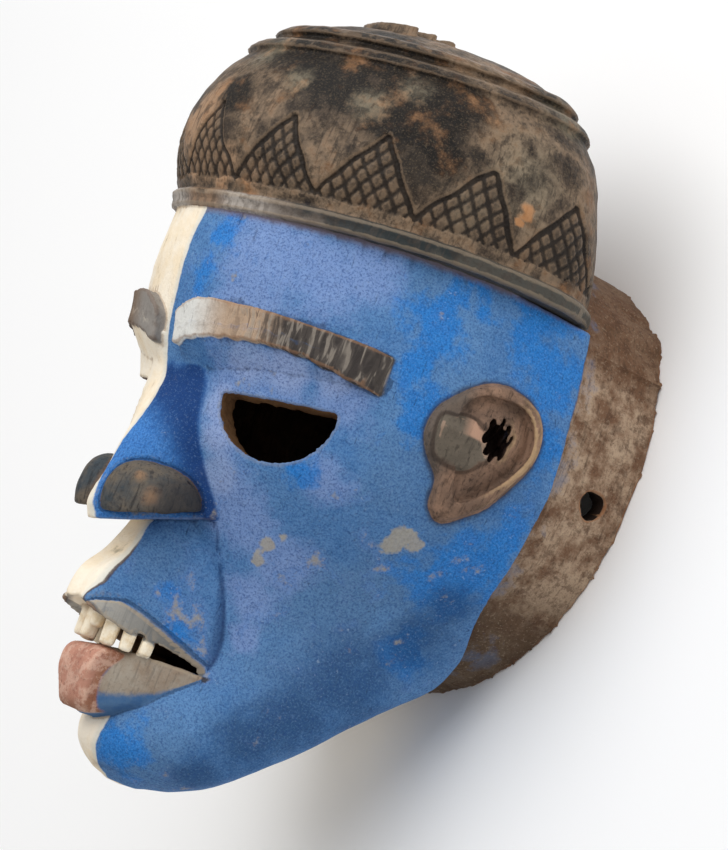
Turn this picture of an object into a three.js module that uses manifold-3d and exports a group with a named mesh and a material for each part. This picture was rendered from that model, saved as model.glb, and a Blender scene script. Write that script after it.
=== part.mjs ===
// A Yombe face mask carved from one block of wood, lying on its back rim.
// Millimetres. +Z is the way the face looks, +Y runs to the crown, +X is the mask's own left side.
// Heights are measured from near the middle of the back rim until the last lines move the mask.
import * as THREE from "three";
import { mergeVertices } from "three/addons/utils/BufferGeometryUtils.js";
import Module from "manifold-3d";

// Shell
const WALL = 11;
const FRONT_WALL = 1.2; // the wall in front is this many times as thick

// Back flange: an oval tube that the mask lies on
const RIM_HALF_WIDTH = 91;
const RIM_HALF_HEIGHT = 89;
const RIM_MIDDLE = 2.5;
const RIM_ROUND_ABOVE = 2.45; // 2 is an ellipse, more is squarer
const RIM_ROUND_BELOW = 2.05;
const RIM_WALL = 9;
const FLANGE_DEPTH = 60;
const TIE_HOLE_RADIUS = 5.3;
const TIE_HOLE_HEIGHT = -3;
const TIE_HOLE_DEPTH = 16;
const TIE_HOLE_SIDES = 16;
const RIM_SIDES = 30;

// Face form by height: height, forward reach, half width, depth of the widest place, depth of the back
const FACE = [
  [-163, 113, 10, 107, 99],
  [-159, 121, 20, 100, 89],
  [-152, 127, 29, 93, 78],
  [-142, 127, 36, 84, 68],
  [-130, 122, 42, 75, 56],
  [-117, 114, 48, 65, 45],
  [-104, 111, 53, 55, 34],
  [-88, 118, 57, 41, 21],
  [-74, 126, 64, 34, 20],
  [-60, 134.5, 73, 35, 30],
  [-46, 143.5, 83, 39, 35],
  [-33, 150.5, 90, 40, 37],
  [-15, 153.5, 94, 40, 38],
  [-10, 155.5, 95, 40, 38],
  [-3, 159, 95, 40, 38],
  [10, 163, 94, 41, 38],
  [30, 167, 90, 42, 38],
  [56, 168, 84, 42, 38],
];
const FACE_ROUND = 2.1;
const FACE_BACK_ROUND = 4;
const JAW_BACK_ROUND = 2.8; // the jaw is round behind, up to its top
const JAW_TOP = -95;
const FACE_STEP = 12.5;
const FACE_TURNS = [22, 4]; // divisions round a ring, in front and behind
const HOLLOW_TURNS = [12, 4];
const FACE_HOLLOW = [-151, 62]; // the lowest and highest ring of the hollow behind the face
const CAP_HOLLOW = [48, 126];

// Cap by height above the front of its rim, in the same five numbers
const CAP = [
  [49, 167, 88, 62, 20],
  [61, 174, 89.5, 66, 21],
  [73, 178, 89, 70, 24],
  [88, 177, 86, 74, 29],
  [102, 172, 81, 77, 35],
  [113, 164, 72.5, 79, 43.5],
  [122, 154.5, 61, 80, 52],
  [129, 142, 47, 82, 59],
  [133.2, 125, 31, 84, 67],
  [135.5, 107, 14, 84, 74],
];
const CAP_ROUND = 2;
const CAP_STEP = 13;
const CAP_TURNS = [24, 8];
const CAP_RISE = 11; // the rim climbs this much from the forehead to the temples
const CAP_RISE_OVER = 125;
const CAP_FRONT = 168;

// What stands out from the cap all the way round, by height: the band at its foot, then two cords
// round the crown
const CAP_STANDS = [
  [46, -1.5],
  [46.5, 2.2],
  [51, 2.8],
  [53, 0],
  [111.5, 0],
  [113.5, 2.6],
  [116.5, 2.2],
  [118, 0],
  [121, 0],
  [123, 2.6],
  [125.5, 0],
  [140, 0],
];

// Triangles filled with crossed cuts above the band
const TRIANGLES_EACH_SIDE = 4;
const TRIANGLE_TURN = 22; // degrees round the cap from one point to the next
const TRIANGLE_FOOT = 58;
const TRIANGLE_TOP = 84;
const LATTICE_LINES = 2;
const LATTICE_CUT = [1.5, 1.1, 3]; // half width, depth and the number of places it is bent at
const EDGE_CUT = [2.2, 1.8, 3];

// Three short ribs across the crown
const RIBS = [126, 117, 108];
const RIB_HALF_LENGTH = 20;
const RIB_RADIUS = 2;
const RIB_SIDES = 5;
const RIB_STATIONS = 5;
const RIB_SWEEP = 0.25; // its ends lie this much further back for each millimetre from the middle
const CROWN = [122, 136]; // the heights between which the ribs lie

// Brow by distance from the median line: distance, height of its middle, half its height
const BROW = [
  [4, -3.5, 5],
  [9, 0, 6.5],
  [18, 4, 7.3],
  [33, 5.5, 7],
  [50, 6.7, 6.8],
  [63, 7, 6.8],
  [77, 6.5, 7.5],
];
const BROW_STANDS = 4.8;
const BROW_STATIONS = 9;
const BROW_ROOT = 6; // how deep it is let into the face
const BROW_END = 0.8; // its ends are this much smaller
const BROW_SECTION = [[-1, 0.5], [-0.6, 1], [0.4, 1], [1, 0.4]]; // shares of half height and stand

// Nose by height: height, depth of the ridge, half width of its foot on the cheek
const NOSE = [
  [-3, 158, 14],
  [-17, 156.5, 21],
  [-27, 157.5, 23],
  [-45, 161, 26],
  [-60, 163.5, 28],
  [-72, 165.5, 29],
  [-78.5, 162.5, 29.5],
];
const NOSE_FOOT_LIFT = 0.48; // the foot climbs this much for each millimetre back to the cheek
const NOSE_RIDGE = 3;
const NOSE_RIDGE_DIP = 0.6; // the two edges of the ridge lie this much behind its middle
const NOSE_ROOT = 14;
const NOSE_STATIONS = 8;
const WING_DIVISIONS = [10, 7];
const WING_RADII = [10.5, 14, 18.5];
const WING_AT = [15, -65, 149];
const WING_TURN = 0.6;

// Muzzle by height: height, depth in front, half width, depth at the cheek
const MUZZLE = [
  [-56, 135, 25.5, 118],
  [-70, 141, 25.5, 117],
  [-84, 146.5, 25.5, 113.5],
  [-94, 153.5, 25.5, 111],
  [-105, 155.5, 25.5, 108],
];
const MUZZLE_BLUNT = 10; // half the width of its blunt front
const MUZZLE_GROOVE = 1;
const MUZZLE_ROOT = 25;
const MUZZLE_STATIONS = 6;
const LIP_DROP = 6;

// Upper lip by distance from the median line: distance, height and depth of the edge
const UPPER_LIP = [
  [0, -106, 155],
  [9, -108.5, 150],
  [16, -112.3, 136],
  [22, -115, 121],
  [27, -117, 108],
];
const UPPER_LIP_SECTION = [[6, -4], [6, 0], [4.5, 1.2], [0, 1], [-1, -1], [0, -11]]; // up and out

// Lower lip: distance from the median line, then height and depth of its lower and of its upper edge
const LOWER_LIP = [
  [0, -143, 139, -118.5, 134],
  [8, -142, 137.5, -118, 133],
  [11, -140, 135, -118, 131],
  [16, -135, 125.5, -117.5, 127],
  [20, -129.5, 117.5, -116.8, 120],
  [23, -124, 112, -116.8, 114],
  [27, -117.6, 107, -117, 107.5],
];
const LOWER_LIP_BEVEL = [-3.5, -2.5];
const LOWER_LIP_BULGE = 0.12; // the middle of its face stands out by this share of its height
const LOWER_LIP_ROOT = 17;
const LIP_STATIONS = 9;
const MOUTH = [44, 9, 70, -114, 120]; // width, height, depth, then the height and depth of its middle

// Teeth: square pegs set back behind the upper lip
const TOOTH = [5.6, 5.2];
const TOOTH_TOP = -103;
const TOOTH_TURN = 0.7; // those at the sides face outwards by this much
const TOOTH_SIDE = 10;
const TEETH = [ // distance from the median line, depth and the height of the tip
  [-0.4, 144, -118.4],
  [4.8, 145, -113.8],
  [9.2, 140.7, -118.6],
  [13.2, 134.8, -118.4],
  [16.6, 128, -117.6],
  [-9, 140.7, -118.4],
  [-15, 131.5, -117.8],
];

// Tongue seen from the side, in height and depth, and how it narrows to its two sides
const TONGUE = [
  [-118.5, 108], [-119, 126], [-119.5, 139], [-123, 144.6], [-130, 145.6],
  [-138, 143.4], [-144.5, 140.4], [-147, 136], [-141, 124], [-130, 108],
];
const TONGUE_MIDDLE = [-133, 128];
const TONGUE_ACROSS = [[-11, 0.85], [-9, 1], [9, 1], [11, 0.85]];

// Ear in its own plane: millimetres to the front and up
const EAR_TURN = THREE.MathUtils.degToRad(12);
const EAR_AT = [88.5, -5, 65];
const EAR_STANDS = 7;
const EAR_BOWL_DEPTH = 5;
const EAR_ROOT = 14;
const EAR_BLOCK_ROOT = 10;
const EAR_BLOCK_DROP = 1; // the block ends this far below the rim
const EAR_POINTS = 1.2; // points along an outline for each one given
const EAR_OUTLINE = [
  [15, 23], [5, 27], [-7, 25], [-14, 18], [-16, 7], [-12, -4], [-6, -16], [1, -23],
  [8.5, -29], [15.5, -25], [17.5, -15], [24.5, -8], [29, 0], [26.5, 11],
];
const EAR_BOWL = [
  [9.5, 20], [-4, 20], [-10, 12], [-10, 3], [-4, -8], [3, -17], [10, -19], [13, -10], [14, 0], [14, 12],
];
const EAR_BLOCK = [[23.5, 7], [13, 9], [5.5, 5], [5.5, -2], [13, -7], [22.5, -6]];

// Eye: a half moon hung from an almost straight lid, in distance from the median line and height
const EYE_INNER = [31, -18];
const EYE_OUTER = [69, -12.5];
const EYE_DEEP = 22;
const EYE_TURN = THREE.MathUtils.degToRad(40); // the hole runs square to the wall, not straight back
const EYE_POINTS = 10;
const EYE_FULLNESS = 0.9; // 1 is half an ellipse, less is fuller
const EYE_CUT = [12, -30]; // how far the cut runs out and in from the face

const WELD = 1e-4; // corners closer than this are one corner
const CLEAR = 10; // how far a cutting body reaches beyond what it cuts

const wasm = await Module();
wasm.setup();

const point = (x, y, z) => new THREE.Vector3(x, y, z);
const power = (value, exponent) => Math.sign(value) * Math.abs(value) ** exponent;
const lerp = THREE.MathUtils.lerp;
const steps = (low, high, count) => (
  Array.from({ length: count }, (_, i) => lerp(low, high, i / (count - 1)))
);

// A smooth line through rows of numbers, read at any place along their first number
function through(rows) {
  const slope = (i, k) => {
    const a = rows[Math.max(i - 1, 0)];
    const b = rows[Math.min(i + 1, rows.length - 1)];
    return (b[k] - a[k]) / (b[0] - a[0]);
  };
  return (at) => {
    let i = 0;
    while (i < rows.length - 2 && at > rows[i + 1][0]) i += 1;
    const [p, q] = [rows[i], rows[i + 1]];
    const span = q[0] - p[0];
    const t = THREE.MathUtils.clamp((at - p[0]) / span, 0, 1);
    const rise = t * t * (3 - 2 * t);
    const leave = t * (1 - t) ** 2 * span;
    const arrive = t * t * (t - 1) * span;
    return p.slice(1).map((start, j) => (
      lerp(start, q[j + 1], rise) + leave * slope(i, j + 1) + arrive * slope(i + 1, j + 1)
    ));
  };
}

// Every height in the rows, with more between them where they are far apart
function heights(rows, step) {
  return rows.flatMap(([y], i) => {
    if (i === 0) return [y];
    const low = rows[i - 1][0];
    const parts = Math.ceil((y - low) / step);
    return steps(low, y, parts + 1).slice(1);
  });
}

const faceRow = through(FACE);
const capRow = through(CAP);
const noseRow = through([...NOSE].reverse());
const muzzleRow = through([...MUZZLE].reverse());

// A skin over rings of points: closed about each end, or running on from the last ring to the first
function skin(rings, loop = false) {
  const points = rings.flat();
  const n = rings[0].length;
  const faces = [];
  const bands = loop ? rings.length : rings.length - 1;
  for (let r = 0; r < bands; r += 1) {
    const [here, next] = [r * n, ((r + 1) % rings.length) * n];
    for (let i = 0; i < n; i += 1) {
      const j = (i + 1) % n;
      faces.push(here + i, here + j, next + j, here + i, next + j, next + i);
    }
  }
  if (!loop) {
    [0, (rings.length - 1) * n].forEach((start, end) => {
      const ring = rings[end ? rings.length - 1 : 0];
      const middle = ring.reduce((sum, p) => sum.add(p), point(0, 0, 0)).divideScalar(n);
      points.push(middle);
      for (let i = 0; i < n; i += 1) {
        const pair = [start + i, start + ((i + 1) % n)];
        if (!end) pair.reverse();
        faces.push(points.length - 1, ...pair);
      }
    });
  }
  return new THREE.BufferGeometry().setFromPoints(points).setIndex(faces);
}

// A closed geometry as a solid that faces outwards
function solid(geometry) {
  const bare = new THREE.BufferGeometry();
  bare.setAttribute("position", geometry.getAttribute("position"));
  bare.setIndex(geometry.index);
  const merged = mergeVertices(bare, WELD);
  const corners = new Uint32Array(merged.index.array);
  const make = () => new wasm.Manifold(
    new wasm.Mesh({ numProp: 3, vertProperties: merged.attributes.position.array, triVerts: corners }),
  );
  const made = make();
  if (made.volume() > 0) return made;
  for (let i = 0; i < corners.length; i += 3) {
    [corners[i + 1], corners[i + 2]] = [corners[i + 2], corners[i + 1]];
  }
  return make();
}

const joined = (solids) => solids.reduce((sum, next) => sum.add(next));
const both = (build) => build(1).add(build(-1));

function capRise(z) {
  const share = THREE.MathUtils.clamp((CAP_FRONT - z) / CAP_RISE_OVER, 0, 1);
  return CAP_RISE * (1 - (1 - share) ** 2);
}

// One place on a head form: the row gives its size at that height, the turn goes round it
function eggPoint([reach, half, widest, back], turn, inset, round, backRound) {
  const [c, s] = [Math.cos(turn), Math.sin(turn)];
  const bend = 2 / (s > 0 ? round : backRound);
  const depth = s > 0 ? reach - inset * FRONT_WALL - widest : widest - back - inset;
  return [power(c, bend) * (half - inset), widest + power(s, bend) * Math.max(depth, 2)];
}

// Turns round a ring, close together in front and wide apart behind
const roundTurns = (front, back) => [
  ...steps(0, Math.PI, front + 1).slice(0, -1),
  ...steps(Math.PI, 2 * Math.PI, back + 1).slice(0, -1),
];

function faceForm(inset, ys, turns) {
  return solid(skin(ys.map((y) => {
    const backRound = y < JAW_TOP ? JAW_BACK_ROUND : FACE_BACK_ROUND;
    return roundTurns(...turns).map((turn) => {
      const [x, z] = eggPoint(faceRow(y), turn, inset, FACE_ROUND, backRound);
      return point(x, y, z);
    });
  })));
}

function capPoint(turn, height, inset) {
  const row = capRow(Math.max(height, CAP[0][0]));
  const [x, z] = eggPoint(row, turn, inset, CAP_ROUND, CAP_ROUND);
  return point(x, height + capRise(z), z);
}

// The outside of the cap, with its band and cords
function capForm(turns) {
  const stands = ([h]) => CAP_STANDS.every(([own]) => Math.abs(h - own) > 1);
  const rings = [...CAP_STANDS, ...heights(CAP, CAP_STEP).slice(1).map((h) => [h, 0]).filter(stands)];
  const highest = CAP[CAP.length - 1][0];
  return solid(skin(rings.filter(([h]) => h <= highest).sort((p, q) => p[0] - q[0]).map(
    ([height, out]) => roundTurns(...turns).map((turn) => capPoint(turn, height, -out)),
  )));
}

function capHollow(ys, turns) {
  return solid(skin(ys.map((y) => roundTurns(...turns).map((turn) => capPoint(turn, y, WALL)))));
}

// The way out of the cap at a place
function capOut(turn, height) {
  const along = capPoint(turn + 0.02, height, 0).sub(capPoint(turn - 0.02, height, 0));
  const up = capPoint(turn, height + 1, 0).sub(capPoint(turn, height - 1, 0));
  const out = up.cross(along).normalize();
  const away = capPoint(turn, height, 0).sub(point(0, height, CAP_FRONT / 2));
  return out.dot(away) < 0 ? out.negate() : out;
}

function rib(z) {
  const lift = (x) => {
    const [lowest, highest] = CROWN;
    const top = steps(lowest, highest, 40).map((h) => {
      const [reach, half, widest] = capRow(h);
      const inside = (x / half) ** 2 + ((z - widest) / (reach - widest)) ** 2;
      return inside <= 1 ? h : lowest;
    });
    return Math.max(...top) + capRise(z);
  };
  const across = steps(-RIB_HALF_LENGTH, RIB_HALF_LENGTH, RIB_STATIONS);
  const curve = new THREE.CatmullRomCurve3(
    across.map((x) => point(x, lift(x), z - Math.abs(x) * RIB_SWEEP)),
  );
  const rings = steps(0, 1, RIB_STATIONS).map((t) => {
    const [at, along] = [curve.getPoint(t), curve.getTangent(t)];
    const up = point(0, 1, 0).cross(along).cross(along).normalize();
    const out = up.clone().cross(along);
    return steps(0, 2 * Math.PI, RIB_SIDES + 1).slice(0, -1).map((a) => (
      at.clone().addScaledVector(up, Math.cos(a) * RIB_RADIUS).addScaledVector(out, Math.sin(a) * RIB_RADIUS)
    ));
  });
  return solid(skin(rings));
}

// A cut with a sharp bottom between two places on the cap, each a turn in degrees and a height
function cut(from, to, [width, depth, stations]) {
  const along = steps(0, 1, stations).map((t) => [
    THREE.MathUtils.degToRad(lerp(from[0], to[0], t)),
    lerp(from[1], to[1], t),
  ]);
  const places = along.map(([turn, height]) => {
    const [at, out] = [capPoint(turn, height, 0), capOut(turn, height)];
    return { at, out };
  });
  const run = places[places.length - 1].at.clone().sub(places[0].at).normalize();
  return solid(skin(places.map(({ at, out }) => {
    const across = run.clone().cross(out).normalize();
    return [
      at.clone().addScaledVector(out, depth).addScaledVector(across, width),
      at.clone().addScaledVector(out, depth).addScaledVector(across, -width),
      at.clone().addScaledVector(out, -depth),
    ];
  })));
}

// The crossed cuts of one triangle, whose sides are cut deeper than the lines between them
function triangle(middle) {
  const half = TRIANGLE_TURN / 2;
  const [left, right] = [[middle + half, TRIANGLE_FOOT], [middle - half, TRIANGLE_FOOT]];
  const top = [middle, TRIANGLE_TOP];
  const mix = (a, b, t) => [lerp(a[0], b[0], t), lerp(a[1], b[1], t)];
  const lines = steps(0, 1, LATTICE_LINES + 2).slice(1, -1);
  return [
    cut(left, top, EDGE_CUT),
    cut(right, top, EDGE_CUT),
    ...lines.map((t) => cut(mix(left, right, t), mix(top, right, t), LATTICE_CUT)),
    ...lines.map((t) => cut(mix(right, left, t), mix(top, left, t), LATTICE_CUT)),
  ];
}

function ovalTube(halfWidth, halfHeight, low, high, sides) {
  const ring = (z) => steps(0, 2 * Math.PI, sides + 1).slice(0, -1).map((turn) => {
    const bend = 2 / (Math.sin(turn) > 0 ? RIM_ROUND_ABOVE : RIM_ROUND_BELOW);
    const x = power(Math.cos(turn), bend) * halfWidth;
    return point(x, power(Math.sin(turn), bend) * halfHeight + RIM_MIDDLE, z);
  });
  return solid(skin([ring(low), ring(high)]));
}

// How far forward the face form stands at a place, and the way its surface looks there
function faceReach(x, y) {
  const [reach, half, widest] = faceRow(y);
  const share = Math.min(Math.abs(x) / half, 1);
  return widest + (reach - widest) * (1 - share ** FACE_ROUND) ** (1 / FACE_ROUND);
}

function faceOut(x, y) {
  const across = (faceReach(x + 1, y) - faceReach(x - 1, y)) / 2;
  const up = (faceReach(x, y + 4) - faceReach(x, y - 4)) / 8;
  return point(-across, -up, 1).normalize();
}

// Brow: a thick arched roll that runs back from the bridge to the temple
function brow(side) {
  const row = through(BROW);
  const [near, far] = [BROW[0][0], BROW[BROW.length - 1][0]];
  const rings = steps(near, far, BROW_STATIONS).map((x) => {
    const [y, half] = row(x);
    const out = faceOut(x, y);
    out.x *= side;
    const up = point(0, 1, 0);
    up.addScaledVector(out, -up.dot(out)).normalize();
    const end = x === near || x === far ? BROW_END : 1;
    const h = half * end;
    const top = BROW_SECTION.map(([u, v]) => [u * h, v * BROW_STANDS * end]);
    const section = [[-h, -BROW_ROOT], ...top, [h, -BROW_ROOT]];
    const at = point(side * x, y, faceReach(x, y));
    return section.map(([u, v]) => at.clone().addScaledVector(up, u).addScaledVector(out, v));
  });
  return solid(skin(rings));
}

// Nose: a wedge with a slightly hollowed ridge, its foot cut off by one flat cut
function nose() {
  const [high, low] = [NOSE[0][0], NOSE[NOSE.length - 1][0]];
  const rings = steps(high, low, NOSE_STATIONS).map((y) => {
    const [ridge, half] = noseRow(y);
    const lift = NOSE_FOOT_LIFT * ((high - y) / (high - low));
    const at = (x, z) => point(x, y + lift * (ridge - z), z);
    const side = faceReach(half, y + lift * half) - 1;
    const [edge, deep] = [ridge - NOSE_RIDGE_DIP, side - NOSE_ROOT];
    return [
      at(NOSE_RIDGE, edge), at(0, ridge), at(-NOSE_RIDGE, edge),
      at(-half, side), at(-half, deep), at(half, deep), at(half, side),
    ];
  });
  const [, ridge, half] = NOSE[NOSE.length - 1];
  const wide = 2 * (half + CLEAR);
  const under = new THREE.BoxGeometry(wide, wide / 2, 2 * wide);
  under.translate(0, -wide / 4, CLEAR - wide);
  under.rotateX(Math.atan(NOSE_FOOT_LIFT));
  under.translate(0, low, ridge);
  return solid(skin(rings)).add(both(wing)).subtract(solid(under));
}

function wing(side) {
  const ball = new THREE.SphereGeometry(1, ...WING_DIVISIONS);
  ball.scale(...WING_RADII);
  ball.rotateY(-side * WING_TURN);
  ball.translate(side * WING_AT[0], WING_AT[1], WING_AT[2]);
  return solid(ball);
}

// The muzzle runs from under the nose to the upper lip like a blunt prow
function muzzle() {
  const rings = steps(MUZZLE[0][0], MUZZLE[MUZZLE.length - 1][0], MUZZLE_STATIONS).map((y) => {
    const [front, half, side] = muzzleRow(y);
    const shoulder = [MUZZLE_BLUNT, y, front];
    const cheek = [half, y - LIP_DROP, side];
    const deep = [half, y, side - MUZZLE_ROOT];
    const right = [shoulder, cheek, deep].map((p) => point(...p));
    const left = [deep, cheek, shoulder].map(([x, h, z]) => point(-x, h, z));
    return [point(0, y, front - MUZZLE_GROOVE), ...right, ...left];
  });
  return solid(skin(rings));
}

// A lip is a bar bent round the mouth, from one corner to the other
function lip(rows, section) {
  const edge = through(rows);
  const far = rows[rows.length - 1][0];
  return solid(skin(steps(-far, far, LIP_STATIONS).map(
    (x) => section(...edge(Math.abs(x))).map(([y, z]) => point(x, y, z)),
  )));
}

function upperLip() {
  return lip(UPPER_LIP, (y, z) => UPPER_LIP_SECTION.map(([up, out]) => [y + up, z + out]));
}

// The face of the lower lip stands steep between its two edges
function lowerLip() {
  const [fall, back] = LOWER_LIP_BEVEL;
  return lip(LOWER_LIP, (y, z, topY, topZ) => [
    [y, z], [y + fall, z + back], [y + fall, z - LOWER_LIP_ROOT],
    [topY, topZ - LOWER_LIP_ROOT], [topY, topZ],
    [(y + topY) / 2, (z + topZ) / 2 + LOWER_LIP_BULGE * (topY - y)],
  ]);
}

function tooth([x, z, tip]) {
  const [wide, thick] = TOOTH;
  const peg = new THREE.BoxGeometry(wide, TOOTH_TOP - tip, thick);
  peg.rotateY(THREE.MathUtils.clamp(x / TOOTH_SIDE, -1, 1) * TOOTH_TURN);
  peg.translate(x, (TOOTH_TOP + tip) / 2, z);
  return solid(peg);
}

// Tongue: a thick slab that comes out over the lower lip and hangs in front of it
function tongue() {
  const [middleY, middleZ] = TONGUE_MIDDLE;
  return solid(skin(TONGUE_ACROSS.map(([x, share]) => TONGUE.map(([y, z]) => (
    point(x, lerp(middleY, y, share), lerp(middleZ, z, share))
  )))));
}

// A smooth flat outline raised to a thickness
function slab(outline, low, high) {
  const line = new THREE.CatmullRomCurve3(outline.map(([a, b]) => point(a, b, 0)), true);
  const shape = new THREE.Shape(line.getPoints(Math.round(outline.length * EAR_POINTS)).slice(0, -1));
  const made = new THREE.ExtrudeGeometry(shape, { depth: high - low, bevelEnabled: false });
  return made.translate(0, 0, low);
}

// Ear: a raised rim round a bowl, with a block at the front
function ear(side) {
  const out = point(Math.cos(EAR_TURN), 0, Math.sin(EAR_TURN));
  const front = point(-Math.sin(EAR_TURN), 0, Math.cos(EAR_TURN));
  const basis = new THREE.Matrix4().makeBasis(front, point(0, 1, 0), out).setPosition(...EAR_AT);
  const place = (geometry) => solid(geometry.applyMatrix4(basis).scale(side, 1, 1));
  return place(slab(EAR_OUTLINE, -EAR_ROOT, EAR_STANDS))
    .subtract(place(slab(EAR_BOWL, EAR_STANDS - EAR_BOWL_DEPTH, EAR_STANDS + CLEAR)))
    .add(place(slab(EAR_BLOCK, -EAR_BLOCK_ROOT, EAR_STANDS - EAR_BLOCK_DROP)));
}

function eyeHole(side) {
  const [x0, y0] = EYE_INNER;
  const [x1, y1] = EYE_OUTER;
  const moon = steps(0, Math.PI, EYE_POINTS).map((turn) => {
    const t = (1 + Math.cos(turn)) / 2;
    const x = lerp(x0, x1, t);
    const y = lerp(y0, y1, t) - Math.sin(turn) ** EYE_FULLNESS * EYE_DEEP;
    return point(x, y, faceReach(x, y));
  });
  const axis = point(Math.sin(EYE_TURN), 0, Math.cos(EYE_TURN));
  const ring = (far) => moon.map((p) => p.clone().addScaledVector(axis, far).multiply(point(side, 1, 1)));
  return solid(skin(EYE_CUT.map(ring)));
}

function tieHoles() {
  const long = 2 * (RIM_HALF_WIDTH + CLEAR);
  const bore = new THREE.CylinderGeometry(TIE_HOLE_RADIUS, TIE_HOLE_RADIUS, long, TIE_HOLE_SIDES);
  bore.rotateZ(Math.PI / 2);
  bore.translate(0, TIE_HOLE_HEIGHT, TIE_HOLE_DEPTH);
  return solid(bore);
}

function mouthHole() {
  const [width, height, depth, y, z] = MOUTH;
  return solid(new THREE.BoxGeometry(width, height, depth).translate(0, y, z));
}

// The head, solid through, then hollowed from behind
const faceHeights = heights(FACE, FACE_STEP);
const capHeights = heights(CAP, CAP_STEP);
const inside = (ys, [low, high]) => [...ys.filter((y, i) => y > low && y < high && i % 2 === 0), high];
const head = joined([
  faceForm(0, faceHeights, FACE_TURNS),
  capForm(CAP_TURNS),
  ovalTube(RIM_HALF_WIDTH, RIM_HALF_HEIGHT, 0, FLANGE_DEPTH, RIM_SIDES),
  nose(),
  muzzle(),
  ...RIBS.map(rib),
]);
const hollow = joined([
  faceForm(WALL, inside(faceHeights, FACE_HOLLOW), HOLLOW_TURNS),
  capHollow(inside(capHeights, CAP_HOLLOW), HOLLOW_TURNS),
  ovalTube(RIM_HALF_WIDTH - RIM_WALL, RIM_HALF_HEIGHT - RIM_WALL, -CLEAR, FLANGE_DEPTH, RIM_SIDES),
  mouthHole(),
  both(eyeHole),
  tieHoles(),
]);
const cuts = steps(-TRIANGLES_EACH_SIDE, TRIANGLES_EACH_SIDE, 2 * TRIANGLES_EACH_SIDE + 1).flatMap(
  (i) => triangle(90 + i * TRIANGLE_TURN),
);
const carved = joined([
  head.subtract(hollow).subtract(joined(cuts)),
  both(brow),
  upperLip(),
  lowerLip(),
  tongue(),
  both(ear),
  ...TEETH.map(tooth),
]);

// Loose chips between crossing cuts fall away
const [block] = carved.decompose().sort((a, b) => b.volume() - a.volume());
const data = block.getMesh();
const geometry = new THREE.BufferGeometry();
geometry.setAttribute("position", new THREE.BufferAttribute(data.vertProperties, 3));
geometry.setIndex(new THREE.BufferAttribute(data.triVerts, 1));
geometry.computeBoundingBox();
const { min, max } = geometry.boundingBox;
geometry.translate(0, -(min.y + max.y) / 2, -min.z);
geometry.computeVertexNormals();

const paintedWood = new THREE.MeshStandardMaterial({ color: 0x4876c2, roughness: 0.7, metalness: 0 });
const mesh = new THREE.Mesh(geometry, paintedWood);
mesh.name = "carved_mask";
const mask = new THREE.Group();
mask.add(mesh);
export default mask;
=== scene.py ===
# %% [markdown]
# # A Yombe face mask, lying on its back rim
# The real mask is one block of light wood, hollowed from behind, carved in front, then painted blue
# and white. The frame loaded below is its plain solid. This script carves the finished surface and paints it.
# Everything is worked out in millimetres in the mask's own axes: x to the mask's left, y to the
# crown, z the way the face looks. The last step of the carving turns it into metres.

# %% Load the frame
import bpy
import numpy as np
import openvdb
from mathutils import Matrix, Vector


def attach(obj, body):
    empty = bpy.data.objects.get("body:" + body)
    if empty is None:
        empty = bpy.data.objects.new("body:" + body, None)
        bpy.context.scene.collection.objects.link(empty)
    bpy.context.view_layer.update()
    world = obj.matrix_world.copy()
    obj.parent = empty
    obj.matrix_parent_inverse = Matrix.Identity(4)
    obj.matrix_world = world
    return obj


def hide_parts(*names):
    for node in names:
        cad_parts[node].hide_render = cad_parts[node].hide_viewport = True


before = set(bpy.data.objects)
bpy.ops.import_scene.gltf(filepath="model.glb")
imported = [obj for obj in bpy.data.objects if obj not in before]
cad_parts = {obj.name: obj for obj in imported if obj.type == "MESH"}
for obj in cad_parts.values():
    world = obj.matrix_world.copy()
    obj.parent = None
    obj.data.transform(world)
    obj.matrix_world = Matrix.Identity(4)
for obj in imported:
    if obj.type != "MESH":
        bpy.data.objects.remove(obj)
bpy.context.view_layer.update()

# %% [markdown]
# ## The wood as a field of distances
# A carved head has hundreds of places where one form runs into another. Joined surfaces would leave
# a seam at each one. Here every form is a field: a number at each point of a 3-D grid that says how
# far outside the form the point is. Forms are joined by taking the smaller number, and cut by taking
# the larger, so a joint is a clean knife line or, where the two are blended, a soft hollow.

# %% The grid
CELL = 0.9
RIM_SHIFT = 8.588  # heights are measured from the middle of the rim, this far up the y axis
LOW = np.array([-104.0, -167.0, -4.0])
HIGH = np.array([104.0, 152.0, 182.0])
counts = np.ceil((HIGH - LOW) / CELL).astype(int)
axes = [(LOW[k] + CELL * np.arange(counts[k])).astype(np.float32) for k in range(3)]
print("grid", counts, "cells", int(counts.prod()))


def block(low, high):
    """A part of the grid between two corners: its slices, then x, y and z shaped to be combined."""
    spans = []
    for k in range(3):
        a, b = np.searchsorted(axes[k], (low[k], high[k]))
        spans.append(slice(int(a), int(b)))
    x, y, z = (axes[k][spans[k]] for k in range(3))
    return tuple(spans), x[:, None, None], y[None, :, None], z[None, None, :]


def whole(spans, values, outside=40.0):
    """The values of a block put back in the whole grid, with a large distance everywhere else."""
    full = np.full(counts, outside, np.float32)
    full[spans] = values
    return full


def soften(a, b, width):
    """The smaller of a and b, with the corner between them filled over a width."""
    share = np.clip(0.5 + 0.5 * (b - a) / width, 0, 1)
    return b + (a - b) * share - width * share * (1 - share)


def trim(a, b, width=0.6):
    """The larger of a and b, with the edge between them rounded over a width."""
    return -soften(-a, -b, width)


def true_distance(field):
    """A field divided by the length of its own slope, so that its numbers are millimetres."""
    slope = sum(g * g for g in np.gradient(field, CELL))
    return (field / np.sqrt(np.maximum(slope, 1e-6))).astype(np.float32)


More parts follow.
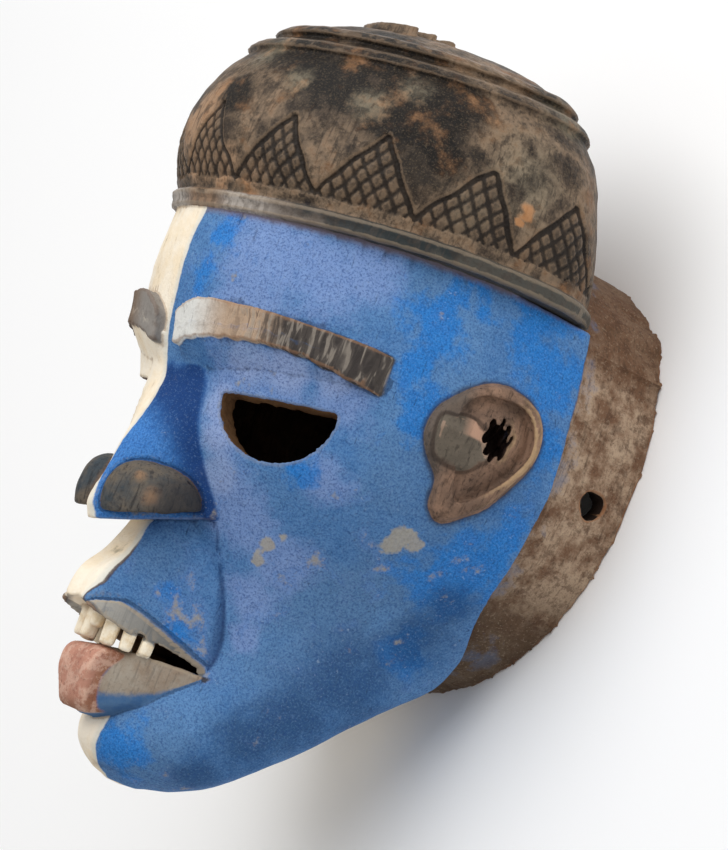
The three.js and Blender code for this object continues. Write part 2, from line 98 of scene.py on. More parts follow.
def through(rows):
    """A smooth line through rows of numbers, read at any places along their first number. Between two
    rows it is the cubic that leaves and arrives with the slope of the rows on either side."""
    rows = np.array(rows, float)
    here = np.arange(len(rows))
    before, after = np.maximum(here - 1, 0), np.minimum(here + 1, len(rows) - 1)
    slope = (rows[after, 1:] - rows[before, 1:]) / (rows[after, :1] - rows[before, :1])

    def read(at):
        at = np.asarray(at, float)
        i = np.clip(np.searchsorted(rows[:, 0], at) - 1, 0, len(rows) - 2)
        span = rows[i + 1, 0] - rows[i, 0]
        t = np.clip((at - rows[i, 0]) / span, 0, 1)[..., None]
        span = span[..., None]
        low, high = rows[i, 1:], rows[i + 1, 1:]
        curve = low + (high - low) * t * t * (3 - 2 * t)
        curve += slope[i] * t * (1 - t) ** 2 * span + slope[i + 1] * t * t * (t - 1) * span
        return [column.astype(np.float32) for column in np.moveaxis(curve, -1, 0)]

    return read


# %% [markdown]
# ## Face, cap and flange
# The three big forms are stacks of ovals. A row gives one oval: how far forward it reaches, half its
# width, the depth where it is widest and the depth of its back. The frame's solid has the same big
# rows. Some of the smaller ones further down were changed after it, to suit the photograph.

# %% Rows of the big forms
FACE = [
    (-163, 113, 10, 107, 99), (-159, 121, 20, 100, 89), (-152, 127, 29, 93, 78), (-142, 127, 36, 84, 68),
    (-130, 122, 42, 75, 56), (-117, 114, 48, 65, 45), (-104, 111, 53, 55, 34), (-88, 118, 57, 41, 21),
    (-74, 126, 64, 34, 20), (-60, 134.5, 73, 35, 30), (-46, 143.5, 83, 39, 35), (-33, 150.5, 90, 40, 37),
    (-15, 153.5, 94, 40, 38), (-10, 155.5, 95, 40, 38), (-3, 159, 95, 40, 38), (10, 163, 94, 41, 38),
    (30, 167, 90, 42, 38), (56, 168, 84, 42, 38),
]
FACE_ROUND = 2.1
CAP = [
    (49, 167, 88, 62, 20), (61, 174, 89.5, 66, 21), (73, 178, 89, 70, 24), (88, 177, 86, 74, 29),
    (102, 172, 81, 77, 35), (113, 164, 72.5, 79, 43.5), (122, 154.5, 61, 80, 52), (129, 142, 47, 82, 59),
    (133.2, 125, 31, 84, 67), (135.5, 107, 14, 84, 74), (137, 97, 4, 86, 80),
]
CAP_FRONT = 168
CAP_RISE = 11
CAP_RISE_OVER = 125
RIM_HALF_WIDTH = 91
RIM_HALF_HEIGHT = 89
RIM_MIDDLE = 2.5
RIM_WALL = 9
FLANGE_DEPTH = 60
WALL = 12
CROWN_INSIDE = 124  # the hollow ends at this height, so that the crown keeps its wall

face_row = through(FACE)
cap_row = through(CAP)


def cap_rise(z):
    """The cap's rim climbs from the forehead to the temples, fast at first and then level."""
    share = np.clip((CAP_FRONT - z) / CAP_RISE_OVER, 0, 1)
    return CAP_RISE * (1 - (1 - share) ** 2)


def oval(x, z, row, front_round, back_round):
    """0 on the oval of a row and 1 twice as far out: the root of the sum of two powers, one of the
    distance across over the half width and one of the depth over the depth of that half."""
    reach, half, widest, back = row
    forward = z - widest
    power = np.where(forward > 0, front_round, back_round).astype(np.float32)
    depth = np.where(forward > 0, reach - widest, widest - back)
    across = np.abs(x) / half
    return (across ** power + (np.abs(forward) / depth) ** power) ** (1 / power) - 1


def face_reach(x, y):
    """How far forward the face stands at a place."""
    reach, half, widest, _ = face_row(y)
    share = np.minimum(np.abs(x) / half, 1)
    return widest + (reach - widest) * (1 - share ** FACE_ROUND) ** (1 / FACE_ROUND)


# %% Face
JAW_ROUND = 2.8
CHEEK_ROUNDER = 1.2  # the back of the face is this much squarer from the cheeks up
CHIN_UNDER = -163.6
FACE_TOP = 56
spans, x, y, z = block((-104, -167, -4), (104, 58, 182))
row = [column[None, :, None] for column in face_row(axes[1][spans[1]])]
back_round = JAW_ROUND + CHEEK_ROUNDER * np.clip((y + 104) / 18, 0, 1)
face_part = true_distance(oval(x, z, row, FACE_ROUND, back_round))
face_part = trim(face_part, CHIN_UNDER - y, 3)
face = whole(spans, trim(face_part, y - FACE_TOP))
print("face from", CHIN_UNDER, "to", FACE_TOP)

# %% [markdown]
# The eyes lie in shallow panels under an overhang. Each panel is a small number added to the field of
# the face, which moves the wood back by so many millimetres without a seam.

# %% Brow rows and the sockets under them
BROW = [(4, -3.5, 5), (9, 0, 6.5), (18, 4, 7.3), (33, 6, 6.5), (50, 7.5, 5.8), (63, 7.8, 6), (77, 6.5, 7.5)]
BROW_STANDS = 5.2
SOCKET_LINE = [(0, -12), (17, -12), (31, -9.5), (44, -6.5), (54, -5), (61, -3.5), (70, -1.5), (78, 0)]
SOCKET_DEEP = 1.2
SOCKET_TALL = 42
SOCKET_END = 79
SOCKET_CLIMB = 0.6


def ease(share):
    """0 to 1 with a level start and a level end."""
    share = np.clip(share, 0, 1)
    return share * share * (3 - 2 * share)


# The panel round each eye lies deepest along the line where the slope under the brow ends, and comes
# back to the face towards the cheek and the temple. Above the line the slope comes out 0.6 mm for
# each millimetre up, until it meets the lower edge of the brow.
spans, x, y, z = block((-80, -60, 84), (80, 24, 182))
off_middle = np.abs(x)
(line,) = through(SOCKET_LINE)(off_middle)
brow_middle, _ = through(BROW)(off_middle)
deep = SOCKET_DEEP * ease((SOCKET_END - off_middle) / 34) * ease((off_middle - 8) / 10)
panel = deep * (1 - ease((line - y) / SOCKET_TALL))
climb = np.clip(SOCKET_CLIMB * (y - line), 0, deep + BROW_STANDS - 0.7) * ease((off_middle - 4) / 7)
socket = np.where(y < brow_middle, panel - np.where(off_middle < 77, climb, 0), 0)
carved_face = face.copy()
carved_face[spans] += socket
print("sockets at most", float(panel.max().round(2)), "mm deep")

# %% Cap, with its band and the cords round the crown
CAP_FOOT, CAP_TOP = 46, 136.6
cap_spans, x, y, z = block((-104, 38, 10), (104, 152, 182))
cap_height = y - cap_rise(z)
row = [column[None] for column in cap_row(np.maximum(cap_height[0], CAP[0][0]))]
cap_skin = true_distance(oval(x, z, row, 2, 2))
BAND = (CAP_FOOT, 52.5, 2.6)
CORDS = ((113, 118, 2.2), (121, 125.6, 2.4))


def bump(at, low, high, edge=1.5):
    """1 between two places and 0 outside them, with edges this soft."""
    return np.clip((at - low) / edge + 0.5, 0, 1) * np.clip((high - at) / edge + 0.5, 0, 1)


stands = sum(size * bump(cap_height, low, high) for low, high, size in (BAND, *CORDS))
cap_plain = trim(trim(cap_skin, CAP_FOOT - cap_height, 1.2), cap_height - CAP_TOP, 3)
print("cap from", CAP_FOOT, "to", CAP_TOP, "with", len(CORDS), "cords")

# %% Three short ribs on the crown
RIBS = (126, 117, 108)
RIB_HALF_LENGTH = 17
RIB_RADIUS = 1.5
RIB_STANDS = 0.3
RIB_SWEEP = 0.25  # the ends of a rib lie further back than its middle
ribs = np.full_like(cap_skin, 40)
for depth in RIBS:
    across = np.maximum(np.abs(x) - RIB_HALF_LENGTH, 0)
    beside = z - depth + RIB_SWEEP * np.abs(x)
    rib = np.sqrt(across ** 2 + beside ** 2 + (cap_skin - RIB_STANDS) ** 2) - RIB_RADIUS
    ribs = np.where(cap_height > 100, np.minimum(ribs, rib), ribs)
print("ribs", len(RIBS))

# %% [markdown]
# ## The triangles on the cap
# Nine triangles stand on the band, filled with crossed knife cuts. A cut is a narrow valley, so it is
# taken off the distance field of the cap. The pattern is drawn on the cap unrolled: one axis is the
# turn round the cap in degrees and the other the height above its rim.

# %% Knife cuts
TRIANGLE_TURN = 22
TRIANGLE_FOOT = 57.5
TRIANGLE_TOP = 84.5
TURN_MM = 1.62  # millimetres round the cap for one degree
LATTICE_STEP = 4.6
LATTICE_CUT = (0.95, 1.05)  # half the width of a cut and its depth
EDGE_CUT = (1.35, 1.8)
LEANS = np.array([6.6, 8.8, 5.9, 4.3, 0, -3.6, -6.5, -7.5, -6])  # how far each tip leans to the back
reach, half, widest, _ = row
cap_turn = np.degrees(np.arctan2((z - widest) / (reach - widest), x / half))
near = (np.abs(cap_skin) < 4) & (cap_height > 54) & (cap_height < 90) & (np.abs(cap_turn - 90) < 101)
height, turn = np.broadcast_to(cap_height, near.shape)[near], cap_turn[near]
third = np.round((turn - 90) / TRIANGLE_TURN)
side = (turn - 90 - third * TRIANGLE_TURN) * TURN_MM
HALF_FOOT = TRIANGLE_TURN / 2 * TURN_MM
TALL = TRIANGLE_TOP - TRIANGLE_FOOT
LONG = np.hypot(HALF_FOOT, TALL)


def valley(off, half_width, depth):
    """The depth of a cut with a sharp bottom at a distance off its line."""
    return depth * np.clip(1 - np.abs(off) / half_width, 0, 1)


def wobble(a, b, seed, size):
    """A few slow waves, so that lines cut by hand aren't ruled."""
    phases = np.random.default_rng(seed).uniform(0, 6.28, 4)
    return size * (np.sin(a * 0.31 + phases[0] + 2 * np.sin(b * 0.17 + phases[1]))
                   + 0.6 * np.sin(b * 0.43 + phases[2] + np.sin(a * 0.23 + phases[3])))


def off_line(off):
    """How far a place lies from the nearest of a row of even lines."""
    return (off + LATTICE_STEP / 2) % LATTICE_STEP - LATTICE_STEP / 2


lean = LEANS[(third + 4).clip(0, 8).astype(int)]
side = side + wobble(side, height + 7 * third, 3, 0.35) + lean * (height - TRIANGLE_FOOT) / TALL
up = height - TRIANGLE_FOOT + wobble(height, side + 5 * third, 5, 0.3)
left_edge = ((side + HALF_FOOT) * TALL - up * HALF_FOOT) / LONG
right_edge = ((HALF_FOOT - side) * TALL - up * HALF_FOOT) / LONG
inside = (left_edge > 0) & (right_edge > 0) & (up > -0.5)
lattice = np.maximum(valley(off_line(left_edge), *LATTICE_CUT), valley(off_line(right_edge), *LATTICE_CUT))
lattice = np.where(inside, lattice + 0.2, 0)
edge_off = np.where(up > -0.5, np.minimum(np.abs(left_edge), np.abs(right_edge)), 9)
edge_off = np.where(up < TALL + 0.5, edge_off, 9)
edges = valley(edge_off, *EDGE_CUT)
cuts = np.zeros(near.shape, np.float32)
cuts[near] = np.maximum(lattice, edges)
in_triangle = np.full(near.shape, -9, np.float32)
in_triangle[near] = np.where(up > -0.5, np.minimum(left_edge, right_edge), -9)
cap_part = np.minimum(cap_plain - stands + cuts, ribs)
cap_part = trim(cap_part, CAP_FOOT - cap_height)
cap = whole(cap_spans, cap_part)
cap_skin_whole = whole(cap_spans, cap_skin)
print("cuts in", int(near.sum()), "cells")

# %% [markdown]
# ## Flange
# Behind the head a round flange keeps the thickness of the wall. It carries one tie hole on each side.

# %% Flange and the hollow inside
TIE_HOLE = (-3, 16, 5.3)
spans, x, y, z = block((-104, -100, -4), (104, 100, 70))
bend = np.where(y > RIM_MIDDLE, 2.45, 2.05).astype(np.float32)
flange_skin = (np.abs(x) / RIM_HALF_WIDTH) ** bend + (np.abs(y - RIM_MIDDLE) / RIM_HALF_HEIGHT) ** bend
flange_skin = true_distance(flange_skin ** (1 / bend) - 1 + 0 * z)
flange = whole(spans, trim(trim(flange_skin, z - FLANGE_DEPTH), -z, 1.5))
tube = whole(spans, trim(flange_skin + RIM_WALL, z - FLANGE_DEPTH))
hollow = soften(soften(face + WALL, cap_skin_whole + WALL - 0.5, 6), tube, 4)
hollow = trim(hollow, axes[1][None, :, None] - CROWN_INSIDE, 8)
print("flange", FLANGE_DEPTH, "mm deep, wall", RIM_WALL)

# %% [markdown]
# ## Brows
# Each brow is a thick roll that follows the curve of the face, so it is built in the face's own
# distance field: so many millimetres out from the face, and so many above or below a curved line.

# %% Brows


def round_bar(off_x, off_y, radius):
    """The distance to a rectangle with round corners, from the distances outside its two pairs of sides."""
    a, b = off_x + radius, off_y + radius
    return np.hypot(np.maximum(a, 0), np.maximum(b, 0)) + np.minimum(np.maximum(a, b), 0) - radius


BROW_FROM, BROW_TO = 6.5, 77.5
brow_spans, x, y, z = block((-86, -18, 90), (86, 24, 182))
middle, half = through(BROW)(np.abs(x))
level = (y - middle) / half
uneven = wobble(3 * np.abs(x), 0 * x, 11, 0.3) * (level < 0)
dish = 0.5 * (1 - level ** 2)
brow_part = round_bar(np.abs(y - middle) - half + uneven, face[brow_spans] - BROW_STANDS + dish, 0.7)
brow_part = trim(brow_part, np.abs(x) - BROW_TO, 0.8)
brow_part = trim(brow_part, BROW_FROM - np.abs(x), 2)
brow = whole(brow_spans, brow_part)
print("brows from", BROW_FROM, "to", BROW_TO)

# %% [markdown]
# ## Nose
# The nose is a wedge. Its ridge and the lines of its feet come from rows by height, and the lines lean
# so that they climb towards the cheek. One flat cut ends it below, and two domes stand at its sides.

# %% Nose
NOSE = [
    (-78.5, 162.5, 29.5), (-72, 165.5, 29), (-60, 163.5, 28), (-45, 161, 26), (-27, 156.5, 23),
    (-17, 155, 21), (-3, 157.5, 14),
]
NOSE_TOP, NOSE_FOOT, NOSE_LEAN, NOSE_RIDGE = -3, -78.5, 0.48, 3
DOME_RADII = (10.5, 14.5, 18.5)
DOME_AT = (15, -65, 149)
DOME_TURN = 0.6
DOME_POWER = 2.4
spans, x, y, z = block((-42, -96, 96), (42, 2, 182))
nose_row = through(NOSE)
at = y + 0 * z
for _ in range(5):
    at = y - NOSE_LEAN * (NOSE_TOP - at) / (NOSE_TOP - NOSE_FOOT) * (nose_row(at)[0] - z)
ridge, half = nose_row(at)
foot_depth = face_reach(half, y + 0 * z).astype(np.float32) - 1
run, drop = half - NOSE_RIDGE, ridge - 0.6 - foot_depth
length = np.hypot(run, drop)
bulge = 1.3 * np.sin(np.pi * np.clip((np.abs(x) - NOSE_RIDGE) / run, 0, 1))
nose_side = ((np.abs(x) - NOSE_RIDGE) * drop + (z - ridge + 0.6) * run) / length - bulge
nose_body = trim(trim(nose_side, z - ridge, 3), np.abs(x) - half - 0.5)
nose_body = trim(nose_body, y - 1, 2)
foot_cut = (NOSE_FOOT + NOSE_LEAN * (NOSE[0][1] - z) - y) / np.hypot(1, NOSE_LEAN)
c, s = np.cos(DOME_TURN), np.sin(DOME_TURN)
dx, dy, dz = np.abs(x) - DOME_AT[0], y - DOME_AT[1], z - DOME_AT[2]
across, along = (c * dx + s * dz) / DOME_RADII[0], (c * dz - s * dx) / DOME_RADII[2]
powers = sum(np.abs(share) ** DOME_POWER for share in (across, dy / DOME_RADII[1], along))
dome_part = true_distance(powers ** (1 / DOME_POWER) - 1)
dome_part = trim(dome_part, foot_cut + 4, 1.0)
nose_body = trim(nose_body, foot_cut, 0.6)
nose_body = nose_body + np.clip(1 - np.abs(dome_part - 0.6) / 1.1, 0, 1)
nose = whole(spans, nose_body)
dome = whole(spans, dome_part)
print("nose from", NOSE_FOOT, "to", NOSE_TOP)

# %% [markdown]
# ## Muzzle, lips, teeth and tongue
# The muzzle juts like a blunt prow and ends in the upper lip. The lower lip is one sloping plane. The
# teeth are pegs left standing behind the upper lip, and the tongue hangs over the lower one.

# %% Muzzle and upper lip
MUZZLE = [
    (-105, 155.5, 25.5, 108), (-94, 153.5, 25.5, 111), (-84, 146.5, 25.5, 113.5), (-70, 141, 25.5, 117),
    (-56, 135, 25.5, 118),
]
MUZZLE_BLUNT, MUZZLE_HALF = 10, 25.5
UPPER_LIP = [
    (0, -106, 155), (9, -108.5, 150), (16, -112.3, 136), (22, -115, 121), (27, -117, 108),
]
LIP_BAND = [
    (0, -2.5), (6, -1.5), (9, 1.5), (11.7, 5), (13.9, 8.5), (16, 8.8), (19.6, 7.4), (25.5, 3.6), (27, 2),
]
spans, x, y, z = block((-40, -126, 80), (40, -42, 170))
front, _, cheek = through(MUZZLE)(y)
lip_y, _ = through(UPPER_LIP)(np.abs(x))
run, drop = MUZZLE_HALF - MUZZLE_BLUNT, front - cheek
length = np.hypot(run, drop)
prow_side = ((np.abs(x) - MUZZLE_BLUNT) * drop + (z - front) * run) / length
groove = 1.2 * np.clip(1 - np.abs(x) / 7, 0, 1)
muzzle_body = trim(trim(z - front + groove, prow_side, 5), np.abs(x) - MUZZLE_HALF - 0.5)
above_lip = y - lip_y
(band_tall,) = through(LIP_BAND)(np.abs(x))
band = 0.6 * bump(above_lip, -4, band_tall, 1.0) - np.clip(1 - np.abs(above_lip - band_tall - 0.9), 0, 1)
muzzle_body = muzzle_body - band
muzzle_body = trim(muzzle_body, -above_lip, 0.7)
muzzle = whole(spans, trim(muzzle_body, y + 46, 4))
lip_band = whole(spans, np.broadcast_to(band_tall - above_lip, muzzle_body.shape), -9)
print("upper lip up to", float(UPPER_LIP[0][2]), "mm forward")

# %% Lower lip
LOWER_LIP = [
    (0, -141.4, 139, -118.5, 134, 4), (8, -140.4, 137.5, -118, 133, 4.5), (11, -138.4, 135, -118, 131, 5),
    (16, -134, 125.5, -117.5, 127, 2.5), (20, -129.5, 117.5, -116.8, 120, 1.2),
    (23, -124, 112, -116.8, 114, 0.7), (27, -117.6, 107, -117, 107.5, 0),
]
spans, x, y, z = block((-31, -152, 76), (31, -110, 150))
low_y, low_z, top_y, top_z, swell = through(LOWER_LIP)(np.abs(x))
share = np.clip((y - low_y) / np.maximum(top_y - low_y, 0.5), 0, 1)
lip_front = (z - low_z - (top_z - low_z) * share - swell * np.sin(np.pi * share)) * 0.8
lower_bevel = (z - low_z) * 0.72 - (y - low_y) * 0.69
lower_lip_part = trim(trim(lip_front, y - top_y - 0.05 * (top_z - z), 0.7), lower_bevel, 0.8)
underside = low_y - 4.5 * (1 - np.abs(x) / 27) - y + 0.12 * (low_z - z)
lower_lip_part = trim(lower_lip_part, underside, 0.8)
lower_lip_part = trim(trim(lower_lip_part, np.abs(x) - 27.5), low_z - 24 - z)
lower_lip = whole(spans, lower_lip_part)
print("lower lip down to", LOWER_LIP[0][1])

# %% Teeth and tongue
TEETH = [
    (0, 144, 4.6, -118.6), (4.8, 145, 3.4, -114), (9.2, 140.7, 5.6, -119), (13.2, 134.8, 5, -118.8),
    (16.6, 128, 5.2, -118), (-6, 143.2, 4.6, -118.6), (-11.4, 137, 5, -118.8), (-15.6, 129, 5.2, -118),
]
TOOTH_TOP, TOOTH_THICK, TOOTH_ROUND = -100, 6.2, 0.9
TONGUE = [
    (-118.5, 108), (-119, 126), (-119.5, 139), (-123, 144.6), (-130, 145.6), (-137, 143.4), (-142.8, 140.6),
    (-144.8, 136), (-140, 124), (-130, 108),
]
TONGUE_HALF, TONGUE_TAPER = 12.6, 0.12
spans, x, y, z = block((-25, -150, 98), (25, -96, 156))
teeth_part = np.full((x + y + z).shape, 40, np.float32)
for tooth_x, tooth_z, width, tip in TEETH:
    turn = np.arctan2(abs(tooth_x) - 1.5, 9.5) * np.sign(tooth_x) * 1.25
    u = (x - tooth_x) * np.cos(turn) - (z - tooth_z) * np.sin(turn)
    v = (x - tooth_x) * np.sin(turn) + (z - tooth_z) * np.cos(turn)
    taper = 0.035 * (TOOTH_TOP - y) - 0.3
    peg = round_bar(np.abs(u) - width / 2 + taper, np.abs(v) - TOOTH_THICK / 2 + taper, TOOTH_ROUND)
    peg = trim(trim(peg, tip - y + 0.12 * u, 0.9), y - TOOTH_TOP)
    teeth_part = np.minimum(teeth_part, peg)
teeth_part = np.maximum(teeth_part, y - through(UPPER_LIP)(np.abs(x))[0] - 1.5)
teeth = whole(spans, teeth_part)


def outline(points, count=160):
    """A closed smooth line through a ring of points: the cubic that leaves each point with the slope
    from its neighbour before it to its neighbour after it."""
    ring = np.array(points, float)
    at = np.linspace(0, len(ring), count, endpoint=False)
    i = at.astype(int)
    t = (at - i)[:, None]
    p = [ring[(i + k) % len(ring)] for k in (-1, 0, 1, 2)]
    return 0.5 * (2 * p[1] + (p[2] - p[0]) * t + (2 * p[0] - 5 * p[1] + 4 * p[2] - p[3]) * t ** 2
                  + (3 * p[1] - p[0] - 3 * p[2] + p[3]) * t ** 3)


def flat_distance(line, u, v):
    """How far points on a plane are outside a closed line: the least distance to any of its short
    straight pieces, made negative where a ray from the point crosses the line an odd number of times."""
    nearest = np.full(np.broadcast(u, v).shape, 1e6)
    odd = np.zeros(nearest.shape, bool)
    for (a0, b0), (a1, b1) in zip(line, np.roll(line, -1, axis=0)):
        along = (a1 - a0) ** 2 + (b1 - b0) ** 2 + 1e-12
        t = np.clip(((u - a0) * (a1 - a0) + (v - b0) * (b1 - b0)) / along, 0, 1)
        nearest = np.minimum(nearest, (u - a0 - t * (a1 - a0)) ** 2 + (v - b0 - t * (b1 - b0)) ** 2)
        crosses = (b0 > v) != (b1 > v)
        odd ^= crosses & (u < (a1 - a0) * (v - b0) / (b1 - b0 + 1e-12) + a0)
    return (np.sqrt(nearest) * np.where(odd, -1, 1)).astype(np.float32)


tongue_side = flat_distance(outline(TONGUE), y[0], z[0])[None]
crown = 0.9 * (x / TONGUE_HALF) ** 2
tongue_edge = np.abs(x) - TONGUE_HALF + TONGUE_TAPER * np.clip(-119 - y, 0, 28)
tongue_part = round_bar(tongue_side + crown, tongue_edge, 1.8)
tongue = whole(spans, tongue_part)
print("teeth", len(TEETH), "and a tongue", 2 * TONGUE_HALF, "mm wide")

# %% [markdown]
# ## Ears
# An ear is a raised rim round a bowl, drawn as outlines on a plane that leans against the temple. A
# splintered pit behind the block in the bowl shows the bare wood. Its near-black colour in the finish is
# painted shade.

# %% Ears
EAR_TURN = np.radians(20)
EAR_AT = (86.5, -5, 65)
EAR_RIM = [
    (15, 23), (5, 27), (-7, 25), (-14, 18), (-16, 7), (-12, -4), (-6, -16), (1, -23), (9, -29), (16, -25),
    (18, -15), (25, -8), (29, 0), (26.5, 11),
]
EAR_BOWL = [
    (11, 20), (-3, 21), (-10, 14), (-11, 4), (-5, -8), (2, -17), (9, -20), (13, -10), (16, -2), (20, 8),
    (18, 15),
]
EAR_BLOCK = [(25, 6), (20, 8), (12, 9), (5, 6), (4, -1), (10, -8), (17, -9), (23, -6)]
EAR_PIT = (3, 6, 6)
grid_u, grid_v = np.meshgrid(np.arange(-40, 41, 0.5), np.arange(-42, 41, 0.5), indexing="ij")
rim_flat, bowl_flat, block_flat = (
    flat_distance(outline(points, 90), grid_u, grid_v) for points in (EAR_RIM, EAR_BOWL, EAR_BLOCK)
)


def read_flat(flat, u, v):
    """A flat field read at any places, by weighing the four grid values around each."""
    u, v = np.clip((u + 40) * 2, 0, flat.shape[0] - 1.001), np.clip((v + 42) * 2, 0, flat.shape[1] - 1.001)
    i, j = u.astype(int), v.astype(int)
    s, t = u - i, v - j
    return ((flat[i, j] * (1 - s) + flat[i + 1, j] * s) * (1 - t)
            + (flat[i, j + 1] * (1 - s) + flat[i + 1, j + 1] * s) * t).astype(np.float32)


ear, ear_pit, ear_knob = (np.full(counts, 40, np.float32) for _ in range(3))
for side in (1, -1):
    low, high = sorted((side * 58, side * 104))
    spans, x, y, z = block((low, -42, 24), (high, 32, 104))
    dx, dz = side * x - EAR_AT[0], z - EAR_AT[2]
    forward = dz * np.cos(EAR_TURN) - dx * np.sin(EAR_TURN) + 0 * y
    up = y - EAR_AT[1] + 0 * forward
    out = face[spans]
    rim, bowl, knob = (read_flat(flat, forward, up) for flat in (rim_flat, bowl_flat, block_flat))
    stands = 6.1 - 0.09 * forward + 0.02 * up
    body = round_bar(rim + 0.25 * out, out - stands, 1.5)
    scoop = round_bar(bowl, 1.2 + 0.02 * rim ** 2 - out, 1.2)
    pit_x, pit_y, pit_r = EAR_PIT
    pit = np.sqrt((forward - pit_x) ** 2 + ((up - pit_y) * 0.75) ** 2 + ((out - 1) * 0.8) ** 2) - pit_r
    splinters = np.sin(forward * 1.9 + 0.4 * up) + 0.8 * np.sin(forward * 0.8 - up * 0.7 + 1)
    pit += splinters * np.clip(1 - np.abs(pit) / 3, 0, 1)
    ridge = 6.6 - np.where(up > 3, 0.5, 0.22) * np.abs(up - 3) - 0.12 * np.maximum(forward - 16, 0)
    knob = round_bar(knob, out - ridge, 0.8)
    body = np.maximum(body, -scoop)
    knob = np.maximum(knob, -pit)
    body = soften(np.maximum(body, -pit), knob, 0.6)
    ear[spans] = trim(body, -6 - out)
    ear_pit[spans], ear_knob[spans] = pit, knob
print("ears 2, each", EAR_RIM[1][1] - EAR_RIM[8][1], "mm tall")

# %% [markdown]
# ## Eyes
# Each eye is a half moon cut right through the wall, hung from an almost straight lid. The knife went
# in square to the wall, so the hole runs outwards at an angle.

# %% Eyes, mouth and tie holes
EYE_INNER = (31, -18)
EYE_OUTER = (69, -12.5)
EYE_DEEP = 22
FAR_EYE_WIDER = 5  # the hole on the mask's right is cut this much closer to the nose
EYE_TURN = np.radians(22)
EYE_LEVEL = -24  # the slope of the face is measured at this height
eye_middle = (EYE_INNER[0] + EYE_OUTER[0]) / 2
eye_half = (EYE_OUTER[0] - EYE_INNER[0]) / 2


def reach_at(px, py):
    """How far forward the face stands at one place, as a plain number."""
    return float(face_reach(np.array([px]), np.array([py]))[0])


depth_0 = reach_at(eye_middle, EYE_LEVEL)
slope_x = (reach_at(EYE_OUTER[0], EYE_LEVEL) - reach_at(EYE_INNER[0], EYE_LEVEL)) / (2 * eye_half)
slope_y = (reach_at(eye_middle, EYE_LEVEL - 10) - reach_at(eye_middle, EYE_LEVEL + 10)) / -20
spans, x, y, z = block((-90, -48, 90), (90, 0, 170))
to_nose = np.clip((EYE_OUTER[0] - np.abs(x)) / (2 * eye_half), 0, 1.3)
off = np.abs(x) + FAR_EYE_WIDER * (x < 0) * to_nose + 0 * y + 0 * z
deep = z - depth_0 - slope_x * (off - eye_middle) - slope_y * (y - EYE_LEVEL)
deep = deep / (1 - slope_x * np.tan(EYE_TURN))
flat_x = off - deep * np.tan(EYE_TURN)
share = (flat_x - EYE_INNER[0]) / (2 * eye_half)
lid = EYE_INNER[1] + (EYE_OUTER[1] - EYE_INNER[1]) * share
moon = np.hypot((flat_x - eye_middle) / eye_half, (lid - y) / EYE_DEEP) - 1
eye_part = trim(moon * eye_half * 0.85, y - lid, 0.8)
eye_part = np.maximum(eye_part, np.abs(deep) - 30)
openings = whole(spans, eye_part)
hole_y, hole_z, hole_r = TIE_HOLE
spans, x, y, z = block((-104, -20, 4), (104, 14, 28))
burn = hole_r + 0.25 * np.sin(3 * np.arctan2(y - hole_y, z - hole_z)) + 0 * x
openings[spans] = np.minimum(openings[spans], np.hypot(y - hole_y, z - hole_z) - burn)
SLOT_HALF, SLOT_FOOT, SLOT_TOP, SLOT_FRONT = 25, -118.5, -109.5, 136
spans, x, y, z = block((-30, -124, 80), (30, -104, 150))
slot_top = np.minimum(SLOT_TOP, through(UPPER_LIP)(np.abs(x))[0] + 2)
slot = np.maximum(np.maximum(np.abs(x) - SLOT_HALF, np.maximum(y - slot_top, SLOT_FOOT - y)), z - SLOT_FRONT)
openings[spans] = np.minimum(openings[spans], slot)
print("eye", 2 * eye_half, "mm wide, tie hole", 2 * hole_r, "mm across")

# %% [markdown]
# ## One block
# The forms are joined in the order a carver finds them: the head and its hollow, then what stands out
# from the head, and last the holes that go through.

# %% Join and cut
head = soften(np.minimum(soften(carved_face, flange, 1.2), cap), np.minimum(nose, dome), 0.9)
head = soften(head, muzzle, 0.9)
shell = np.maximum(np.maximum(np.maximum(head, -hollow), -openings), -ear_pit)
block_field = np.minimum(shell, brow)
block_field = soften(block_field, np.minimum(lower_lip, teeth), 0.8)
block_field = np.minimum(soften(block_field, ear, 0.5), tongue)
print("wood", int((block_field < 0).sum() * CELL ** 3 / 1000), "ml")

# %% [markdown]
# ## From field to surface
# The surface is where the joined field is zero. It comes out as an even net, far too fine on the plain
# cheeks, so it is thinned: edges are folded away first where the wood is flat.

# %% Mesh
MOST_TRIANGLES = 190000
grid = openvdb.FloatGrid()
grid.copyFromArray(np.ascontiguousarray(block_field))
points, _, quads = grid.convertToPolygons(isovalue=0.0, adaptivity=0.0)
corners = quads[:, ::-1]  # turned round so that the faces look outwards
mesh = bpy.data.meshes.new("net")
mesh.vertices.add(len(points))
mesh.vertices.foreach_set("co", (points * CELL + LOW).astype(np.float32).ravel())
mesh.loops.add(corners.size)
mesh.loops.foreach_set("vertex_index", corners.ravel().astype(np.int32))
mesh.polygons.add(len(corners))
mesh.polygons.foreach_set("loop_start", np.arange(0, corners.size, 4, dtype=np.int32))
mesh.update(calc_edges=True)
net = bpy.data.objects.new("net", mesh)
bpy.context.scene.collection.objects.link(net)
thin = net.modifiers.new("thin", "DECIMATE")
thin.ratio = MOST_TRIANGLES / (2 * len(corners))
wood = bpy.data.meshes.new_from_object(net.evaluated_get(bpy.context.evaluated_depsgraph_get()))
bpy.data.objects.remove(net)
place = np.empty(len(wood.vertices) * 3, np.float32)
wood.vertices.foreach_get("co", place)
place = place.reshape(-1, 3)
print("thinned from", len(corners), "to", len(wood.polygons), "faces")


